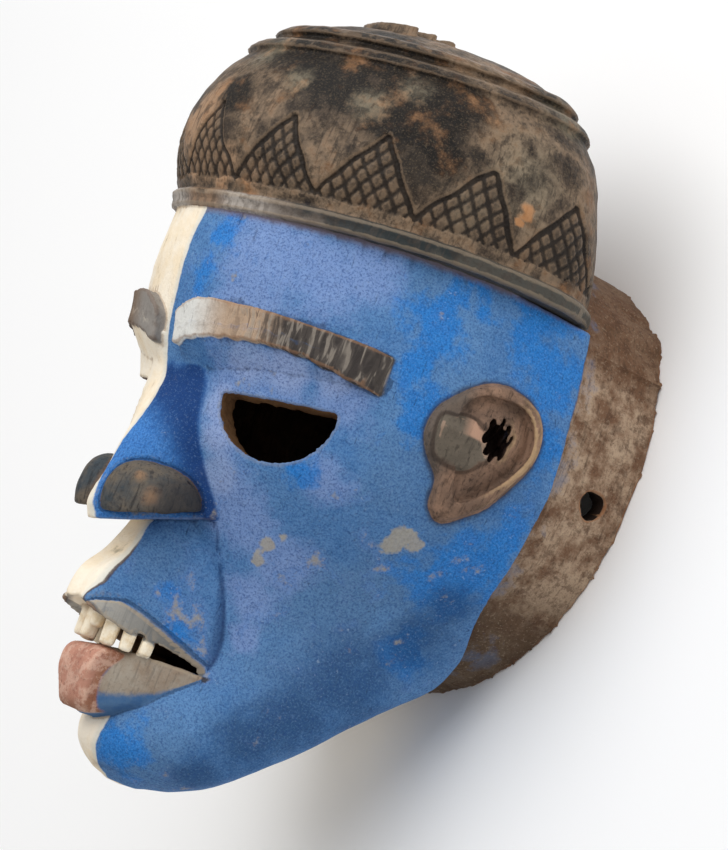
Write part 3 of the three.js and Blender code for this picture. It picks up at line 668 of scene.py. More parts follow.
def sample(field, at=place):
    """A grid field read at points, by weighing the eight values around each."""
    u = np.clip((at - LOW) / CELL, 0, counts - 1.001)
    i = u.astype(int)
    f = u - i
    total = 0
    for corner in np.ndindex(2, 2, 2):
        weight = np.prod(np.where(corner, f, 1 - f), axis=1)
        a, b, c = (i + corner).T
        total = total + weight * field[a, b, c]
    return total.astype(np.float32)


# %% [markdown]
# ## The marks of the hand
# Nothing on the mask is true. The adze left low swells and dips all over it, the rim is worn, and a
# few chips are gone. Each point is moved a little along its own normal.

# %% Unevenness
def swell_field(at, size, seed, count=9):
    """A smooth random field between about -1 and 1: a sum of waves in random directions."""
    rng = np.random.default_rng(seed)
    directions = rng.normal(size=(count, 3)) * 6.28 / size
    return np.sin(at @ directions.T + rng.uniform(0, 6.28, count)).sum(axis=1) / np.sqrt(count)


normals = np.empty(len(place) * 3, np.float32)
wood.vertex_normals.foreach_get("vector", normals)
normals = normals.reshape(-1, 3)
on_flange = sample(np.minimum(face, cap)) - sample(flange)
depth_inside = -sample(head)
on_cap = sample(np.minimum(carved_face, flange)) - sample(cap)
around = np.zeros_like(block_field)
for axis in range(3):
    middle = [slice(None)] * 3
    middle[axis] = slice(1, -1)
    around[tuple(middle)] += np.diff(block_field, 2, axis=axis) / CELL ** 2
edge = sample(around)
move = 0.10 * swell_field(place, 9, 1) + 0.16 * swell_field(place, 22, 2)
move += np.where(on_flange > 0, 0.25 * swell_field(place, 14, 3), 0)
MUZZLE_EDGE = [(-58, 27.5), (-66, 26.4), (-74, 25.4), (-88, 25.4), (-102, 26.2), (-112, 27.2)]
(muzzle_edge,) = through(MUZZLE_EDGE)(place[:, 1])
off_edge = np.abs(np.abs(place[:, 0]) - muzzle_edge)
beside_mouth = (place[:, 1] < -60) & (place[:, 1] > -114) & (place[:, 2] > 98)
off_edge = np.where(beside_mouth, off_edge, 9)
move -= 0.6 * np.clip(1 - off_edge / 1.6, 0, 1)
move += np.where(depth_inside > 4, 0.7 * np.abs(swell_field(place, 16, 4)), 0)
nicks = np.maximum(swell_field(place, 4.5, 5) + 0.6 * swell_field(place, 11, 6) - 0.7, 0)
move -= np.where((on_flange > 0) & (edge > 0.25) & (place[:, 2] < 7), 0.9 * nicks, 0)
CHIPS = [(88, 84, 91.5, 4, 1.2), (70.7, 67, 1, 7, 2.2), (79, -43, 82, 5, 0.4), (40, -70, 112, 3.5, 0.4)]
for *at, radius, deep in CHIPS:
    off = np.linalg.norm(place - at, axis=1) / radius
    move -= deep * np.clip(1 - off ** 2, 0, 1)
carved = place + normals * move[:, None]
print("moved by", float(move.min()), "to", float(move.max()), "mm")

# %% Object
metres = (carved + np.array([0, RIM_SHIFT, 0], np.float32)) / 1000
metres[:, 2] = np.maximum(metres[:, 2], 0)
wood.vertices.foreach_set("co", metres.astype(np.float32).ravel())
wood.polygons.foreach_set("use_smooth", np.ones(len(wood.polygons), bool))
mask = bpy.data.objects.new("carved_wood", wood)
bpy.context.scene.collection.objects.link(mask)
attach(mask, "root")
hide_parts("carved_mask")

# %% [markdown]
# ## What is painted where
# The finish changes along the knife lines between the forms. Each form leaves a number on every
# point: the millimetres to the crease it meets its neighbour in, more than 0 on its own side. The
# painted side of the face and the places where paint is faded, fresh or chipped are numbers too.

# %% Zones
def zone(name, values):
    """A number on every point of the mask, which the paint reads by name."""
    layer = wood.attributes.new(name, "FLOAT", "POINT")
    layer.data.foreach_set("value", np.ascontiguousarray(values, np.float32))


def spots(places):
    """How deep in any of a few round spots each point lies, 1 in the middle and 0 outside."""
    total = np.zeros(len(place), np.float32)
    for *at, radius in places:
        total = np.maximum(total, 1 - np.linalg.norm(place - at, axis=1) / radius)
    return total


BORDER = [
    (-165, -3), (-160, 1), (-154, 5), (-146, 8), (-120, 7), (-107, 6), (-98, 10.5), (-84, 9.2), (-71, 6.5),
]
NOSE_BORDER = [
    (-76, 3), (-69, 1.5), (-58, -1.5), (-46, -1), (-29, -0.5), (-18, -2.7), (-9, -4), (14, -1.5), (33, 0),
    (47, 3), (60, 3),
]
# Round spots on the face, each a place and a radius, in millimetres
FACE_SPOTS = {
    "fresh": [
        (80, 31, 102, 26), (79, 48, 91, 20), (84, 48, 64, 30), (89, 34, 50, 26), (94, 7, 49, 22),
        (80, -48, 56, 30), (14, -151, 122, 20), (88, -37, 45, 28), (85, -2, 96, 22), (81, 14, 105, 14),
        (18, 36, 166, 14), (14, 20, 163, 10), (59, -35, 122, 12), (60, -78, 48, 16), (24, -92, 132, 9),
        (22, -106, 122, 7),
    ],
    "faded": [
        (38, 35, 157, 34), (56, 33, 142, 28), (36, 15, 157, 24), (32, -14, 146, 18), (52, -9, 140, 18),
        (69, -7, 122, 18), (36, -58, 124, 24), (45, -67, 107, 18), (34, -82, 106, 14), (33, -98, 100, 10),
        (64, 41, 130, 20), (66, -35, 114, 14), (32, -30, 140, 16),
    ],
    "dull": [
        (81, -26, 95, 26), (87, -31, 72, 22), (52, -80, 81, 40), (43, -107, 86, 34), (66, -60, 75, 28),
        (20, -150, 112, 24), (15, -85, 138, 18), (74, 43, 109, 14),
    ],
    "bare": [
        (78, -43, 82, 8), (75, -47, 83, 6), (81, -46, 76, 6), (44, -63, 113, 4), (39, -70, 112, 4.5),
        (49, -58, 111, 3.5), (88, 84, 91.5, 4.5),
    ],
    # painted shade: darker spots on the jaw and under the chin
    "shade": [
        (53, -100, 62, 30), (41, -132, 87, 24), (64, -73, 48, 22), (47, -118, 74, 26), (73, -59, 47, 16),
        (30, -150, 95, 16),
    ],
    "pale": [
        (29, -22, 146, 10), (30, -34, 142, 10), (31, -46, 137, 11), (40, -5, 150, 12), (54, -3, 140, 12),
        (66, 0, 127, 10),
    ],
    "marks": [
        (31, 39, 161, 2.4), (46.3, 56.2, 154.4, 1.8), (34, 4.5, 163, 1.8), (4, -140, 144, 1.8),
        (70, -39, 92, 1.4), (27.8, -117.5, 106.5, 1.5), (25, -53, 143, 1.6),
    ],
    "dome_tan": [(27, -64, 157, 10), (19, -58, 160, 5)],
}
# and the same on the cap
CAP_SPOTS = {
    "cap_red": [
        (-4, 66, 176, 22), (-12, 80, 176, 18), (10, 62, 175, 14), (88, 84, 91.5, 5), (28, 62, 168, 10),
    ],
    # pale patches: dust, and at the first spot the painted sheen on the cap's right side
    "cap_dust_and_sheen": [
        (84, 95, 93, 34), (71, 125, 81, 22), (54, 98, 151, 14), (28, 100, 167, 12), (60, 111, 137, 12),
        (80, 75, 110, 18), (0, 110, 170, 20),
    ],
    "pitch": [
        (4, 88, 177, 14), (42, 104, 158, 24), (62, 100, 143, 22), (67, 111, 127, 20), (49, 120, 143, 24),
        (10, 117, 163, 24), (65, 132, 75, 24), (30, 126, 140, 20), (74, 92, 128, 14), (90, 78, 64, 14),
        (25, 108, 162, 16),
    ],
    "raw": [(88, 85, 91, 2.6), (88.5, 82, 90, 2.2), (87, 79, 92, 1.8)],
    "tar": [(58, 57.5, 144, 14), (66, 58, 132, 14), (74, 59, 120, 12), (46, 57, 154, 9), (79, 60, 111, 8)],
}
for name, places in {**FACE_SPOTS, **CAP_SPOTS}.items():
    zone(name, spots(places))
print("spots", sum(len(places) for places in {**FACE_SPOTS, **CAP_SPOTS}.values()))

# %% [markdown]
# Each zone compares two fields. Where the brow's number is smaller than the face's, the surface belongs
# to the brow, and the difference tells how far the crease between them is.

# %% Creases
x, y, z = place.T
nose_here = sample(np.minimum(nose, dome)) < 1.2
border = np.where(nose_here | (y > -62), through(NOSE_BORDER)(y)[0], through(BORDER)(y)[0])
depth_of = {name: sample(field) for name, field in dict(
    face=carved_face, cap=cap, nose=nose, dome=dome, brow=brow, ear=ear, tongue=tongue, teeth=teeth,
    lower_lip=lower_lip, muzzle=muzzle, shell=shell,
).items()}


def nearest(*names):
    """The least distance to any of the named forms."""
    return np.minimum.reduce([depth_of[name] for name in names])


zone("on_cap", on_cap)
zone("band_height", sample(whole(cap_spans, np.broadcast_to(cap_height, cap_part.shape), 0)))
zone("cut_deep", sample(whole(cap_spans, cuts, 0)))
zone("in_triangle", sample(whole(cap_spans, in_triangle, -9)))
zone("on_flange", on_flange)
zone("inside", depth_inside)
zone("on_brow", depth_of["face"] - depth_of["brow"])
zone("on_dome", np.minimum(depth_of["nose"], depth_of["face"]) - depth_of["dome"])
zone("on_ear", depth_of["face"] - depth_of["ear"])
zone("in_pit", 0.5 - sample(ear_pit))
zone("on_knob", depth_of["ear"] - sample(ear_knob) + 0.8)
zone("in_cut", np.where(depth_inside > 0.5, 1.2 - np.abs(sample(openings)), -9))
zone("off_cap", depth_of["cap"])
zone("on_tongue", nearest("lower_lip", "face", "muzzle", "teeth") - depth_of["tongue"])
zone("on_teeth", nearest("lower_lip", "muzzle", "shell", "tongue") - depth_of["teeth"])
zone("on_lower_lip", nearest("face", "tongue", "muzzle", "teeth") - depth_of["lower_lip"])
zone("muzzle_crease", 1.5 - off_edge)
zone("on_upper_lip", np.minimum(sample(lip_band), depth_of["face"] - depth_of["muzzle"]))
zone("painted_blue", x - border)
zone("across", np.abs(x))
zone("height", y)
zone("forward", z)
low_y, _, top_y, _, _ = through(LOWER_LIP)(np.abs(x))
zone("lip_share", (y - low_y) / (top_y - low_y + 0.5))
zone("on_nose", nearest("face", "muzzle") - depth_of["nose"])
zone("ear_front", (z - EAR_AT[2]) * np.cos(EAR_TURN) - (np.abs(x) - EAR_AT[0]) * np.sin(EAR_TURN))
zone("side", x)
zone("edge", edge)
print("zones", len(wood.attributes))

# %% [markdown]
# ## Paint and bare wood in nodes
# One finish covers the whole block, as on the real mask, where paint and bare wood run into each
# other. Layers lie one over another, each with its own ragged edge, and the grain runs through all.

# %% Tools for the finish
finish = bpy.data.materials.new("painted_wood")
finish.use_nodes = True
nodes, links = finish.node_tree.nodes, finish.node_tree.links
shader = nodes["Principled BSDF"]
MM = 1000


def add(kind, *inputs, result=0, **settings):
    """A new node with its settings, its inputs given in order as numbers or as other nodes' results."""
    made = nodes.new("ShaderNode" + kind)
    for name, value in settings.items():
        setattr(made, name, value)
    for socket, value in zip(made.inputs, inputs):
        if isinstance(value, bpy.types.NodeSocket):
            links.new(value, socket)
        elif value is not None:
            socket.default_value = value
    return made.outputs[result]


def math(operation, a, b=0.0):
    """One sum on two numbers, such as the least, the greatest or the size without its sign."""
    return add("Math", a, b, operation=operation)


def plus(a, b):
    """a + b"""
    return math("ADD", a, b)


def minus(a, b):
    """a - b"""
    return math("SUBTRACT", a, b)


def times(a, b):
    """a x b"""
    return math("MULTIPLY", a, b)


def step(value, low, high):
    """0 below low, 1 above high and a soft step between them."""
    return add("MapRange", value, low, high, 0.0, 1.0, interpolation_type="SMOOTHSTEP")


def read(name):
    """The number that a zone left on the surface."""
    return add("Attribute", attribute_name=name, result=2)


def paint(red, green, blue):
    """A colour from its three values on screen, 0 to 255, turned into amounts of light."""
    share = np.array([red, green, blue]) / 255
    light = np.where(share < 0.04045, share / 12.92, ((share + 0.055) / 1.055) ** 2.4)
    return (*light.tolist(), 1.0)


def blend(share, low, high):
    """low where the share is 0, high where it is 1, and the straight mix in between."""
    mixed = nodes.new("ShaderNodeMix")
    mixed.data_type = "RGBA"
    for socket, value in zip((mixed.inputs[0], mixed.inputs[6], mixed.inputs[7]), (share, low, high)):
        if isinstance(value, bpy.types.NodeSocket):
            links.new(value, socket)
        else:
            socket.default_value = value
    return mixed.outputs[2]


where = nodes.new("ShaderNodeTexCoord").outputs["Object"]


def noise(size, detail=3.0, rough=0.6, stretch=(1, 1, 1), offset=0.0, warp=0.0):
    """A cloudy pattern between 0 and 1 whose patches are about this many millimetres across."""
    scale = tuple(MM / size * s for s in stretch)
    at = add("Mapping", where, (offset, offset / 2, offset / 3), (0, 0, 0), scale)
    return add("TexNoise", at, None, 1.0, detail, rough, 2.0, None, None, warp)


GRAIN = (1, 0.09, 1)
broad, patchy = noise(38, 4), noise(15, 5, 0.65, offset=3)
mottle, speck = noise(4.5, 4, 0.7, offset=7), noise(1.1, 2, 0.6, offset=11)
grain = noise(1.3, 3, 0.6, GRAIN, offset=13, warp=0.3)
streak = noise(2.4, 3, 0.55, (1, 0.05, 1), offset=17, warp=0.2)
fine = noise(0.8, 3, 0.7, offset=19)
ragged = times(minus(mottle, 0.5), 2.6)
edge = read("edge")
unsure = times(minus(mottle, 0.5), 0.8)
worn = step(plus(edge, unsure), 0.34, 0.85)
# darker in hollows and creases: partly dirt, partly painted shade
crease_dirt_and_shade = step(minus(unsure, edge), 0.16, 0.7)


def frayed(value, wander):
    """A number moved up and down by the mottling, so that a step taken on it has a ragged edge."""
    return plus(value, times(ragged, wander))


def on(name, slack=0.5, wander=0.35):
    """The share of a zone at a place, with an edge that wanders a little off the crease."""
    return step(frayed(read(name), wander), -slack, slack)


# %% [markdown]
# ### The blue and the white
# Blue laundry colour over a pale ground: strong where it is fresh, milky where it has rubbed off, grey
# where hands held it. Short dark cracks follow the grain, and pale flecks show the ground. Painted shade
# darkens the jaw, the chin, the foot of the nose and the crease beside the muzzle.

# %% Blue side
def spread(name, wander, low, high):
    """A spot read by name, its edge broken up by the patches in the paint."""
    return step(plus(read(name), times(minus(patchy, 0.5), wander)), low, high)


def over(share, below, colour, strength=1.0):
    """A coat of a colour where the share says, as dense as its strength."""
    return blend(times(share, strength), below, colour)


def coats(tone, *layers):
    """Coats laid on a tone one after another, each with where it goes, its colour and its strength."""
    for share, colour, strength in layers:
        tone = over(share, tone, colour, strength)
    return tone


blue = blend(step(broad, 0.35, 0.65), paint(70, 118, 172), paint(88, 132, 180))
blue = over(step(mottle, 0.35, 0.7), blue, paint(104, 146, 194), 0.4)
blue = over(spread("dull", 1.6, 0.0, 0.8), blue, paint(86, 122, 162), 0.6)
milky = blend(mottle, paint(108, 138, 192), paint(138, 162, 208))
blue = over(spread("faded", 1.8, 0.0, 0.7), blue, milky, 0.85)
strong = blend(mottle, paint(8, 108, 194), paint(40, 134, 212))
blue = over(spread("fresh", 3.2, 0.2, 0.75), blue, strong, 0.85)
nose_side = step(minus(read("on_nose"), 0.2), -0.6, 0.6)
blue = over(nose_side, blue, blend(mottle, paint(34, 104, 186), paint(74, 142, 214)), 0.8)
# painted shade: the nose's side turns dark blue towards its foot, in the crease by the cheek and the inner
# eye
nose_foot_shade = times(nose_side, step(plus(read("on_nose"), ragged), 10, 2))
nose_foot_shade = times(nose_foot_shade, step(read("height"), 4, -8))
blue = coats(
    blue,
    (spread("pale", 0.8, 0.0, 0.6), paint(156, 172, 210), 0.6),
    # painted shade at the foot of the nose
    (nose_foot_shade, paint(8, 48, 106), 0.92),
    # painted shade on the jaw and under the chin
    (spread("shade", 1.2, 0.0, 0.8), paint(30, 68, 112), 0.72),
    (step(fine, 0.5, 0.62), paint(34, 72, 132), 0.5),
    (step(fine, 0.46, 0.36), paint(130, 168, 214), 0.2),
    (step(speck, 0.54, 0.66), paint(24, 50, 100), 0.28),
)
flecks = times(step(noise(1.7, 3, 0.7, offset=23), 0.62, 0.72), step(patchy, 0.4, 0.7))
blue = over(flecks, blue, paint(170, 190, 214), 0.5)
cracks = times(step(grain, 0.62, 0.72), step(noise(9, 3, 0.6, offset=29), 0.42, 0.66))
blue = over(cracks, blue, paint(34, 50, 84), 0.5)

# %% White side
white = blend(step(patchy, 0.35, 0.7), paint(252, 241, 222), paint(244, 225, 194))
strip = minus(1.0, step(plus(times(read("painted_blue"), -1.0), ragged), 0.5, 4.0))
white = coats(
    white,
    (strip, paint(196, 206, 206), 0.45),
    (step(speck, 0.62, 0.78), paint(200, 170, 132), 0.2),
    (cracks, paint(170, 140, 110), 0.3),
)
blue_here = step(frayed(read("painted_blue"), 0.6), -0.5, 0.5)
colour = blend(blue_here, white, blue)
colour = over(worn, colour, blend(blue_here, paint(214, 190, 156), paint(126, 130, 142)), 0.4)
# hollows and creases darkened: brown dirt on the white side, painted shade in dark blue on the blue side
colour = over(crease_dirt_and_shade, colour, blend(blue_here, paint(150, 120, 90), paint(22, 36, 66)), 0.55)
under_band = minus(1.0, step(plus(read("off_cap"), ragged), 0.6, 3.6))
colour = over(times(under_band, blue_here), colour, paint(126, 104, 96), 0.6)
chipped = spread("bare", 2.2, 0.25, 0.5)
colour = over(chipped, colour, blend(speck, paint(190, 180, 154), paint(150, 140, 122)), 0.75)
# painted shade: a dark blue line along the crease between the muzzle's side and the cheek
crease = times(step(read("muzzle_crease"), 0.0, 1.3), step(read("across"), 21, 24))
colour = over(crease, colour, paint(16, 40, 90), 0.6)
border_crack = step(math("ABSOLUTE", frayed(read("painted_blue"), 0.3)), 0.7, 0.2)
border_crack = times(border_crack, step(read("height"), -76, -84))
border_crack = times(border_crack, step(read("height"), -112, -106))
colour = over(border_crack, colour, paint(70, 46, 34), 0.8)

# %% [markdown]
# ### Bare and blackened wood
# Lips, brows, ears, nostrils, cap and flange were left without blue. They are the wood itself, grey
# with dust, brown where it was handled, blackened on the cap.

# %% Weathered wood
def wood_of(low, high, dark, share=0.5):
    """Weathered wood: two tones in patches, with dark streaks along the grain."""
    tone = blend(step(patchy, 0.35, 0.65), low, high)
    tone = over(step(grain, 0.5, 0.72), tone, dark, share)
    return over(step(speck, 0.55, 0.75), tone, dark, 0.35)


# %% [markdown]
# The lips are bare wood, grey near the middle and darker to the corners, with blue spilt on the foot of
# the lower one. The tongue is a dull red that has rubbed off in patches, and the teeth are white,
# brown at their roots. Zones tell the parts apart, so no seam has to be cut between them.

# %% Mouth
outer_lip = step(read("across"), 10, 24)
lip = blend(outer_lip, paint(172, 168, 160), paint(104, 104, 102))
lip = coats(
    lip,
    (step(mottle, 0.5, 0.7), paint(100, 114, 128), 0.4),
    (step(streak, 0.5, 0.66), paint(84, 88, 92), 0.4),
    (worn, paint(190, 166, 134), 0.35),
)
lip = blend(step(read("across"), 6, 9), paint(236, 214, 180), lip)
colour = blend(on("on_upper_lip"), colour, lip)
under = wood_of(paint(166, 156, 142), paint(148, 130, 112), paint(92, 84, 76), 0.4)
under = over(worn, under, paint(176, 158, 132), 0.4)
under_edge = step(frayed(read("lip_share"), 0.08), 0.0, 0.16)
spilt = blend(mottle, paint(46, 92, 146), paint(92, 122, 150))
colour = blend(on("on_lower_lip"), colour, blend(under_edge, spilt, under))
# the tongue's front is lighter and pinker than its brown top: partly its own tones, partly painted light
flesh = blend(step(read("forward"), 138, 143.5), paint(150, 104, 80), paint(190, 138, 118))
flesh = coats(
    flesh,
    (step(mottle, 0.46, 0.6), paint(220, 184, 164), 0.55),
    (step(patchy, 0.5, 0.62), paint(140, 88, 72), 0.45),
    (step(speck, 0.56, 0.72), paint(96, 62, 52), 0.4),
    (worn, paint(226, 190, 166), 0.35),
)
tongue_here = on("on_tongue", 0.5, 0.2)
colour = blend(tongue_here, colour, over(cracks, flesh, paint(70, 46, 38), 0.6))
ivory = blend(step(mottle, 0.4, 0.75), paint(253, 241, 218), paint(232, 208, 170))
ivory = blend(step(times(read("height"), -1.0), 105, 111), paint(140, 108, 78), ivory)
colour = blend(on("on_teeth", 0.4, 0.1), colour, ivory)

# %% [markdown]
# The brows are pale with dust at the nose and black at the temple, where short strokes of the knife
# cross them. The nostrils are dark domes with a lighter spot. One number, the distance from the median
# line, says where each tone gives way to the next.

# %% Brows and nostrils
far = read("across")
brow_tone = blend(step(frayed(far, 3), 16, 36), paint(220, 219, 214), paint(180, 154, 130))
brow_tone = blend(step(frayed(far, 4), 44, 56), brow_tone, paint(74, 68, 64))
strokes = noise(3.0, 2, 0.5, (1.6, 0.22, 0.8), offset=31, warp=0.7)
cut_brow = step(far, 30, 46)
brow_tone = coats(
    brow_tone,
    (times(step(strokes, 0.53, 0.62), cut_brow), paint(160, 150, 138), 0.55),
    (times(step(strokes, 0.5, 0.4), cut_brow), paint(46, 42, 42), 0.6),
    (step(mottle, 0.5, 0.75), paint(112, 104, 98), 0.3),
    (step(grain, 0.55, 0.75), paint(70, 62, 58), 0.3),
    (worn, paint(150, 112, 84), 0.45),
    (step(read("side"), 2, -2), paint(84, 68, 56), 0.7),
)
colour = blend(on("on_brow", 0.4), colour, brow_tone)
dome_tone = wood_of(paint(106, 96, 84), paint(62, 70, 76), paint(34, 33, 36), 0.7)
tan = spread("dome_tan", 1.8, 0.25, 0.8)
dome_tone = over(tan, dome_tone, paint(158, 124, 94), 0.8)
dome_rim = minus(1.0, step(plus(read("on_dome"), ragged), 0.2, 2.0))
dome_tone = coats(
    dome_tone,
    (dome_rim, paint(120, 88, 64), 0.6),
    (step(far, 21, 28), paint(34, 38, 46), 0.75),
    (step(mottle, 0.52, 0.66), paint(44, 44, 48), 0.5),
)
colour = blend(on("on_dome", 0.6, 0.5), colour, dome_tone)

# %% [markdown]
# The ears are brown wood with a dark edge on the face round them, partly dirt and partly painted shade
# in the crease. The rim is worn light and the bowl is mottled. The block in it is lighter on the side to
# the crown, which is painted light, and its crease is darker, partly dirt and partly painted shade.

# %% Finish of the ears
ear_tone = wood_of(paint(146, 116, 96), paint(112, 90, 76), paint(48, 38, 33), 0.7)
ear_tone = over(step(mottle, 0.5, 0.64), ear_tone, paint(60, 46, 38), 0.5)
# a dark edge on the face round the ear: partly dirt, partly painted shade in the crease
near_ear = step(plus(read("on_ear"), ragged), -2.4, -0.4)
colour = over(near_ear, colour, paint(52, 52, 66), 0.55)
grey_front = wood_of(paint(80, 80, 76), paint(96, 88, 80), paint(46, 42, 40))
ear_tone = over(step(read("ear_front"), 14, 22), ear_tone, grey_front, 0.7)
hand_worn = times(worn, step(read("ear_front"), 2, -8))
ear_tone = over(hand_worn, ear_tone, paint(196, 164, 124), 0.6)
# painted light: the facet of the block above its ridge faces up and is painted lighter than the one below
above_ridge = step(frayed(read("height"), 0.3), -2.6, -1.4)
lit_facet = times(above_ridge, step(read("ear_front"), 18, 12))
knob_wood = wood_of(paint(112, 102, 90), paint(92, 84, 74), paint(50, 45, 40))
knob_tone = blend(lit_facet, knob_wood, paint(176, 140, 118))
knob_tone = over(worn, knob_tone, paint(190, 156, 132), 0.4)
# the crease round the block is darkened: partly dirt, partly painted shade
round_knob = step(math("ABSOLUTE", plus(read("on_knob"), 0.6)), 1.3, 0.3)
ear_tone = over(round_knob, ear_tone, paint(40, 31, 27), 0.6)
ear_tone = over(on("on_knob", 0.4, 0.2), ear_tone, knob_tone)
colour = blend(on("on_ear", 0.4), colour, ear_tone)

# %% [markdown]
# The flange has no paint of its own. It is dusty brown in the middle, redder towards the crown and darker
# towards the chin, where the darkening is painted shade, with a little blue beside the face. The inside is
# plain dark wood, and the walls of the eye holes show lighter wood. Heights and depths are enough to tell
# these places apart.

# %% Flange and inside
flange_tone = blend(step(patchy, 0.38, 0.6), paint(118, 88, 67), paint(182, 157, 132))
# painted shade: the flange darkens towards the chin
flange_low_shade = step(frayed(read("height"), 9), -25, -65)
flange_tone = over(flange_low_shade, flange_tone, paint(84, 67, 51), 0.85)
high_up = step(frayed(read("height"), 8), 30, 60)
flange_tone = coats(
    flange_tone,
    (high_up, paint(104, 74, 53), 0.85),
    (step(grain, 0.5, 0.7), paint(76, 58, 44), 0.5),
    (step(mottle, 0.5, 0.64), paint(78, 54, 40), 0.55),
    (step(fine, 0.52, 0.66), paint(64, 48, 38), 0.4),
    (step(speck, 0.55, 0.72), paint(180, 160, 136), 0.3),
)
spill = minus(step(patchy, 0.46, 0.66), step(read("on_flange"), 2, 12))
flange_tone = over(spill, flange_tone, paint(74, 108, 146), 0.5)
flange_tone = over(worn, flange_tone, paint(158, 108, 72), 0.6)
colour = blend(on("on_flange", 0.5), colour, flange_tone)
inner = wood_of(paint(84, 60, 42), paint(64, 46, 33), paint(38, 27, 20), 0.6)
colour = blend(step(read("inside"), 0.8, 2.6), colour, inner)
cut_wood = wood_of(paint(134, 100, 68), paint(110, 80, 54), paint(60, 42, 30))
bored = blend(step(read("forward"), 30, 60), paint(44, 32, 26), cut_wood)
colour = blend(step(read("in_cut"), 0.0, 0.8), colour, bored)
# painted shade: the pit in the ear is near-black
colour = blend(step(frayed(read("in_pit"), 0.3), 0.0, 0.6), colour, paint(34, 20, 16))

# %% [markdown]
# The cap was blackened, and has worn back to brown and grey. Pitch lies on it in large patches that
# listed spots place and noise breaks up. The cuts are filled with dark dirt. The band has its own
# tones: brown at the very front, then pale grey, then dark towards the side.

# %% Cap
cap_tone = blend(step(patchy, 0.34, 0.62), paint(58, 48, 40), paint(140, 118, 96))
cap_tone = coats(
    cap_tone,
    (step(plus(broad, times(unsure, 0.25)), 0.5, 0.66), paint(44, 39, 34), 0.7),
    (spread("pitch", 2.6, 0.1, 0.45), paint(18, 16, 15), 0.95),
    (spread("cap_red", 1.8, 0.1, 0.7), paint(172, 138, 108), 0.8),
    # pale patches: dust, and a painted sheen on the cap's right side
    (spread("cap_dust_and_sheen", 2.2, 0.3, 1.0), paint(142, 132, 112), 0.6),
    (step(mottle, 0.48, 0.62), paint(34, 28, 24), 0.55),
    (step(fine, 0.52, 0.64), paint(130, 112, 88), 0.25),
    (step(grain, 0.5, 0.68), paint(24, 20, 18), 0.5),
    (spread("raw", 1.0, 0.0, 0.4), paint(184, 130, 84), 0.8),
)
triangle = step(read("in_triangle"), -0.6, 0.6)
cap_tone = coats(
    cap_tone,
    (triangle, blend(mottle, paint(60, 49, 39), paint(104, 88, 72)), 0.5),
    (worn, paint(128, 106, 84), 0.4),
    (step(read("cut_deep"), 0.3, 0.9), paint(32, 26, 22), 0.88),
)
band_tone = blend(step(far, 6, 18), paint(140, 114, 92), paint(174, 165, 156))
band_tone = blend(step(far, 26, 42), band_tone, paint(112, 102, 94))
band_tone = blend(step(far, 52, 76), band_tone, paint(76, 74, 68))
band_tone = coats(
    band_tone,
    (spread("tar", 1.4, 0.1, 0.5), paint(34, 44, 48), 0.8),
    (step(mottle, 0.5, 0.64), paint(62, 54, 48), 0.5),
    (step(streak, 0.48, 0.66), paint(84, 74, 66), 0.45),
    (worn, paint(160, 142, 120), 0.4),
)
cap_tone = blend(minus(1.0, step(read("band_height"), 52.3, 53.3)), cap_tone, band_tone)
colour = blend(on("on_cap", 0.5), colour, cap_tone)

# %% Small dark marks
colour = over(spread("marks", 0.8, 0.1, 0.5), colour, paint(30, 24, 26), 0.85)

# %% [markdown]
# ### Sheen and fine relief
# Handling has polished the cap and the worn edges. The paint is dry and chalky. The relief adds what
# is finer than the net of triangles: the grain, the cracks in the paint and the strokes of the knife.

# %% Sheen and relief
cap_here = on("on_cap", 0.5)
sheen = minus(0.76, times(cap_here, 0.25))
sheen = minus(sheen, times(worn, 0.12))
sheen = plus(sheen, times(minus(mottle, 0.5), 0.22))
links.new(colour, shader.inputs["Base Color"])
links.new(sheen, shader.inputs["Roughness"])
shader.inputs["Specular IOR Level"].default_value = 0.18
relief = times(grain, -0.22)
relief = plus(relief, times(patchy, 0.5))
relief = plus(relief, times(mottle, 0.35))
relief = plus(relief, times(speck, 0.14))
relief = plus(relief, times(fine, 0.10))
relief = minus(relief, times(cracks, 0.16))
relief = plus(relief, times(times(strokes, on("on_brow", 0.4)), 0.5))
bump_node = add("Bump", 1.0, 0.001, None, relief)
links.new(bump_node, shader.inputs["Normal"])
wood.materials.append(finish)
print("finish has", len(nodes), "nodes")

# %% [markdown]
# ## The studio
# A pale floor, an almost white room, one large soft light from the upper left and a weak one from the
# right. The shade under the jaw and low on the flange tells where the light stood in the picture.
# The mask lies on its back rim and the camera looks down at it, turned so that the crown is at the top.

# %% Floor
bpy.ops.mesh.primitive_plane_add(size=8)
floor = bpy.context.object
floor_paint = bpy.data.materials.new("floor")
floor_paint.use_nodes = True
floor_shader = floor_paint.node_tree.nodes["Principled BSDF"]
floor_shader.inputs["Base Color"].default_value = (0.97, 0.97, 0.97, 1)
floor_shader.inputs["Roughness"].default_value = 0.9
floor.data.materials.append(floor_paint)
print("floor", tuple(floor.dimensions))

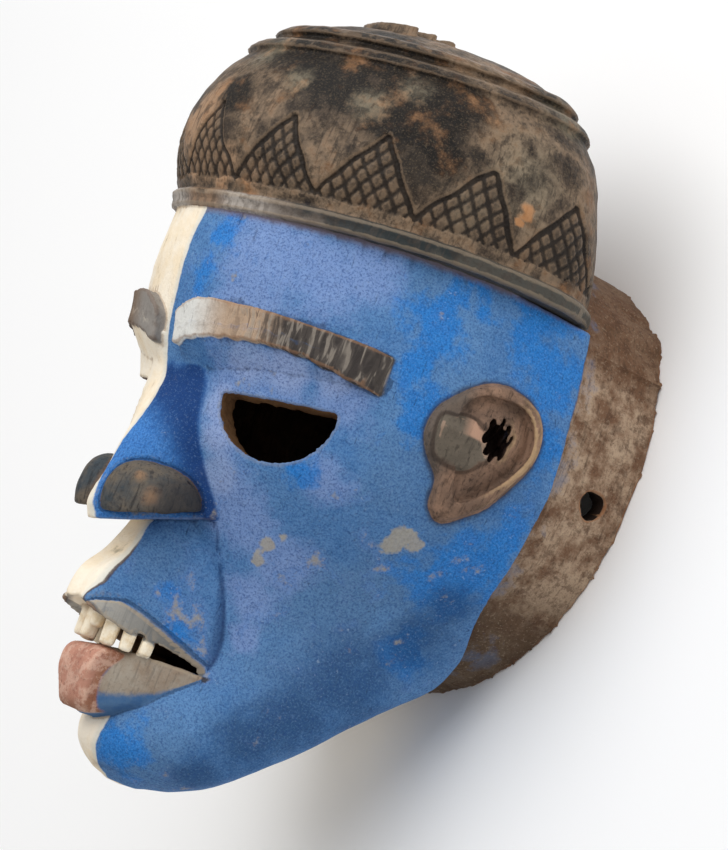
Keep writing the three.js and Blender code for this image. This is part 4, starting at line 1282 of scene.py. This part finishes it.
# %% Camera
AZIMUTH, TILT, ROLL = np.radians([57, -8, 22])
AWAY = 1.5
LENS = 165.18
SHIFT_RIGHT, SHIFT_DOWN = 0.01115, 0.00577  # the picture's middle lies this far off the aim, in metres
look = np.array([np.sin(AZIMUTH) * np.cos(TILT), np.sin(TILT), np.cos(AZIMUTH) * np.cos(TILT)])
level_right = np.array([np.cos(AZIMUTH), 0, -np.sin(AZIMUTH)])
level_up = np.cross(look, level_right)
right = np.cos(ROLL) * level_right + np.sin(ROLL) * level_up
upward = np.cos(ROLL) * level_up - np.sin(ROLL) * level_right
aim = np.array([0, RIM_SHIFT / 1000, 0.080])
camera_data = bpy.data.cameras.new("camera")
camera_data.sensor_width = 36
camera_data.lens = LENS
camera = bpy.data.objects.new("camera", camera_data)
bpy.context.scene.collection.objects.link(camera)
stand = aim + AWAY * look + SHIFT_RIGHT * right - SHIFT_DOWN * upward
camera.matrix_world = Matrix([[right[k], upward[k], look[k], stand[k]] for k in range(3)] + [[0, 0, 0, 1]])
bpy.context.scene.camera = camera
print("camera at", stand.round(3))


# %% Lights
LIGHT_AWAY = 1.6
ROOM_LIGHT = 0.42


def soft_light(name, direction, size, power):
    """A square light that shines at the middle of the mask from a distance of LIGHT_AWAY."""
    lamp = bpy.data.objects.new(name, bpy.data.lights.new(name, "AREA"))
    bpy.context.scene.collection.objects.link(lamp)
    lamp.data.size = size
    lamp.data.energy = power
    towards = Vector(direction).normalized()
    lamp.location = Vector(aim) + LIGHT_AWAY * towards
    lamp.rotation_mode = "QUATERNION"
    lamp.rotation_quaternion = towards.to_track_quat("Z", "Y")


soft_light("key", -0.36 * right + 0.72 * upward + 0.5 * look, 2.4, 33)
soft_light("fill", 0.9 * right + 0.55 * upward + 0.35 * look, 1.0, 4)
world = bpy.data.worlds.new("studio")
bpy.context.scene.world = world
world.use_nodes = True
world.node_tree.nodes["Background"].inputs["Color"].default_value = (1, 1, 1, 1)
world.node_tree.nodes["Background"].inputs["Strength"].default_value = ROOM_LIGHT
bpy.context.scene.view_settings.view_transform = "Standard"
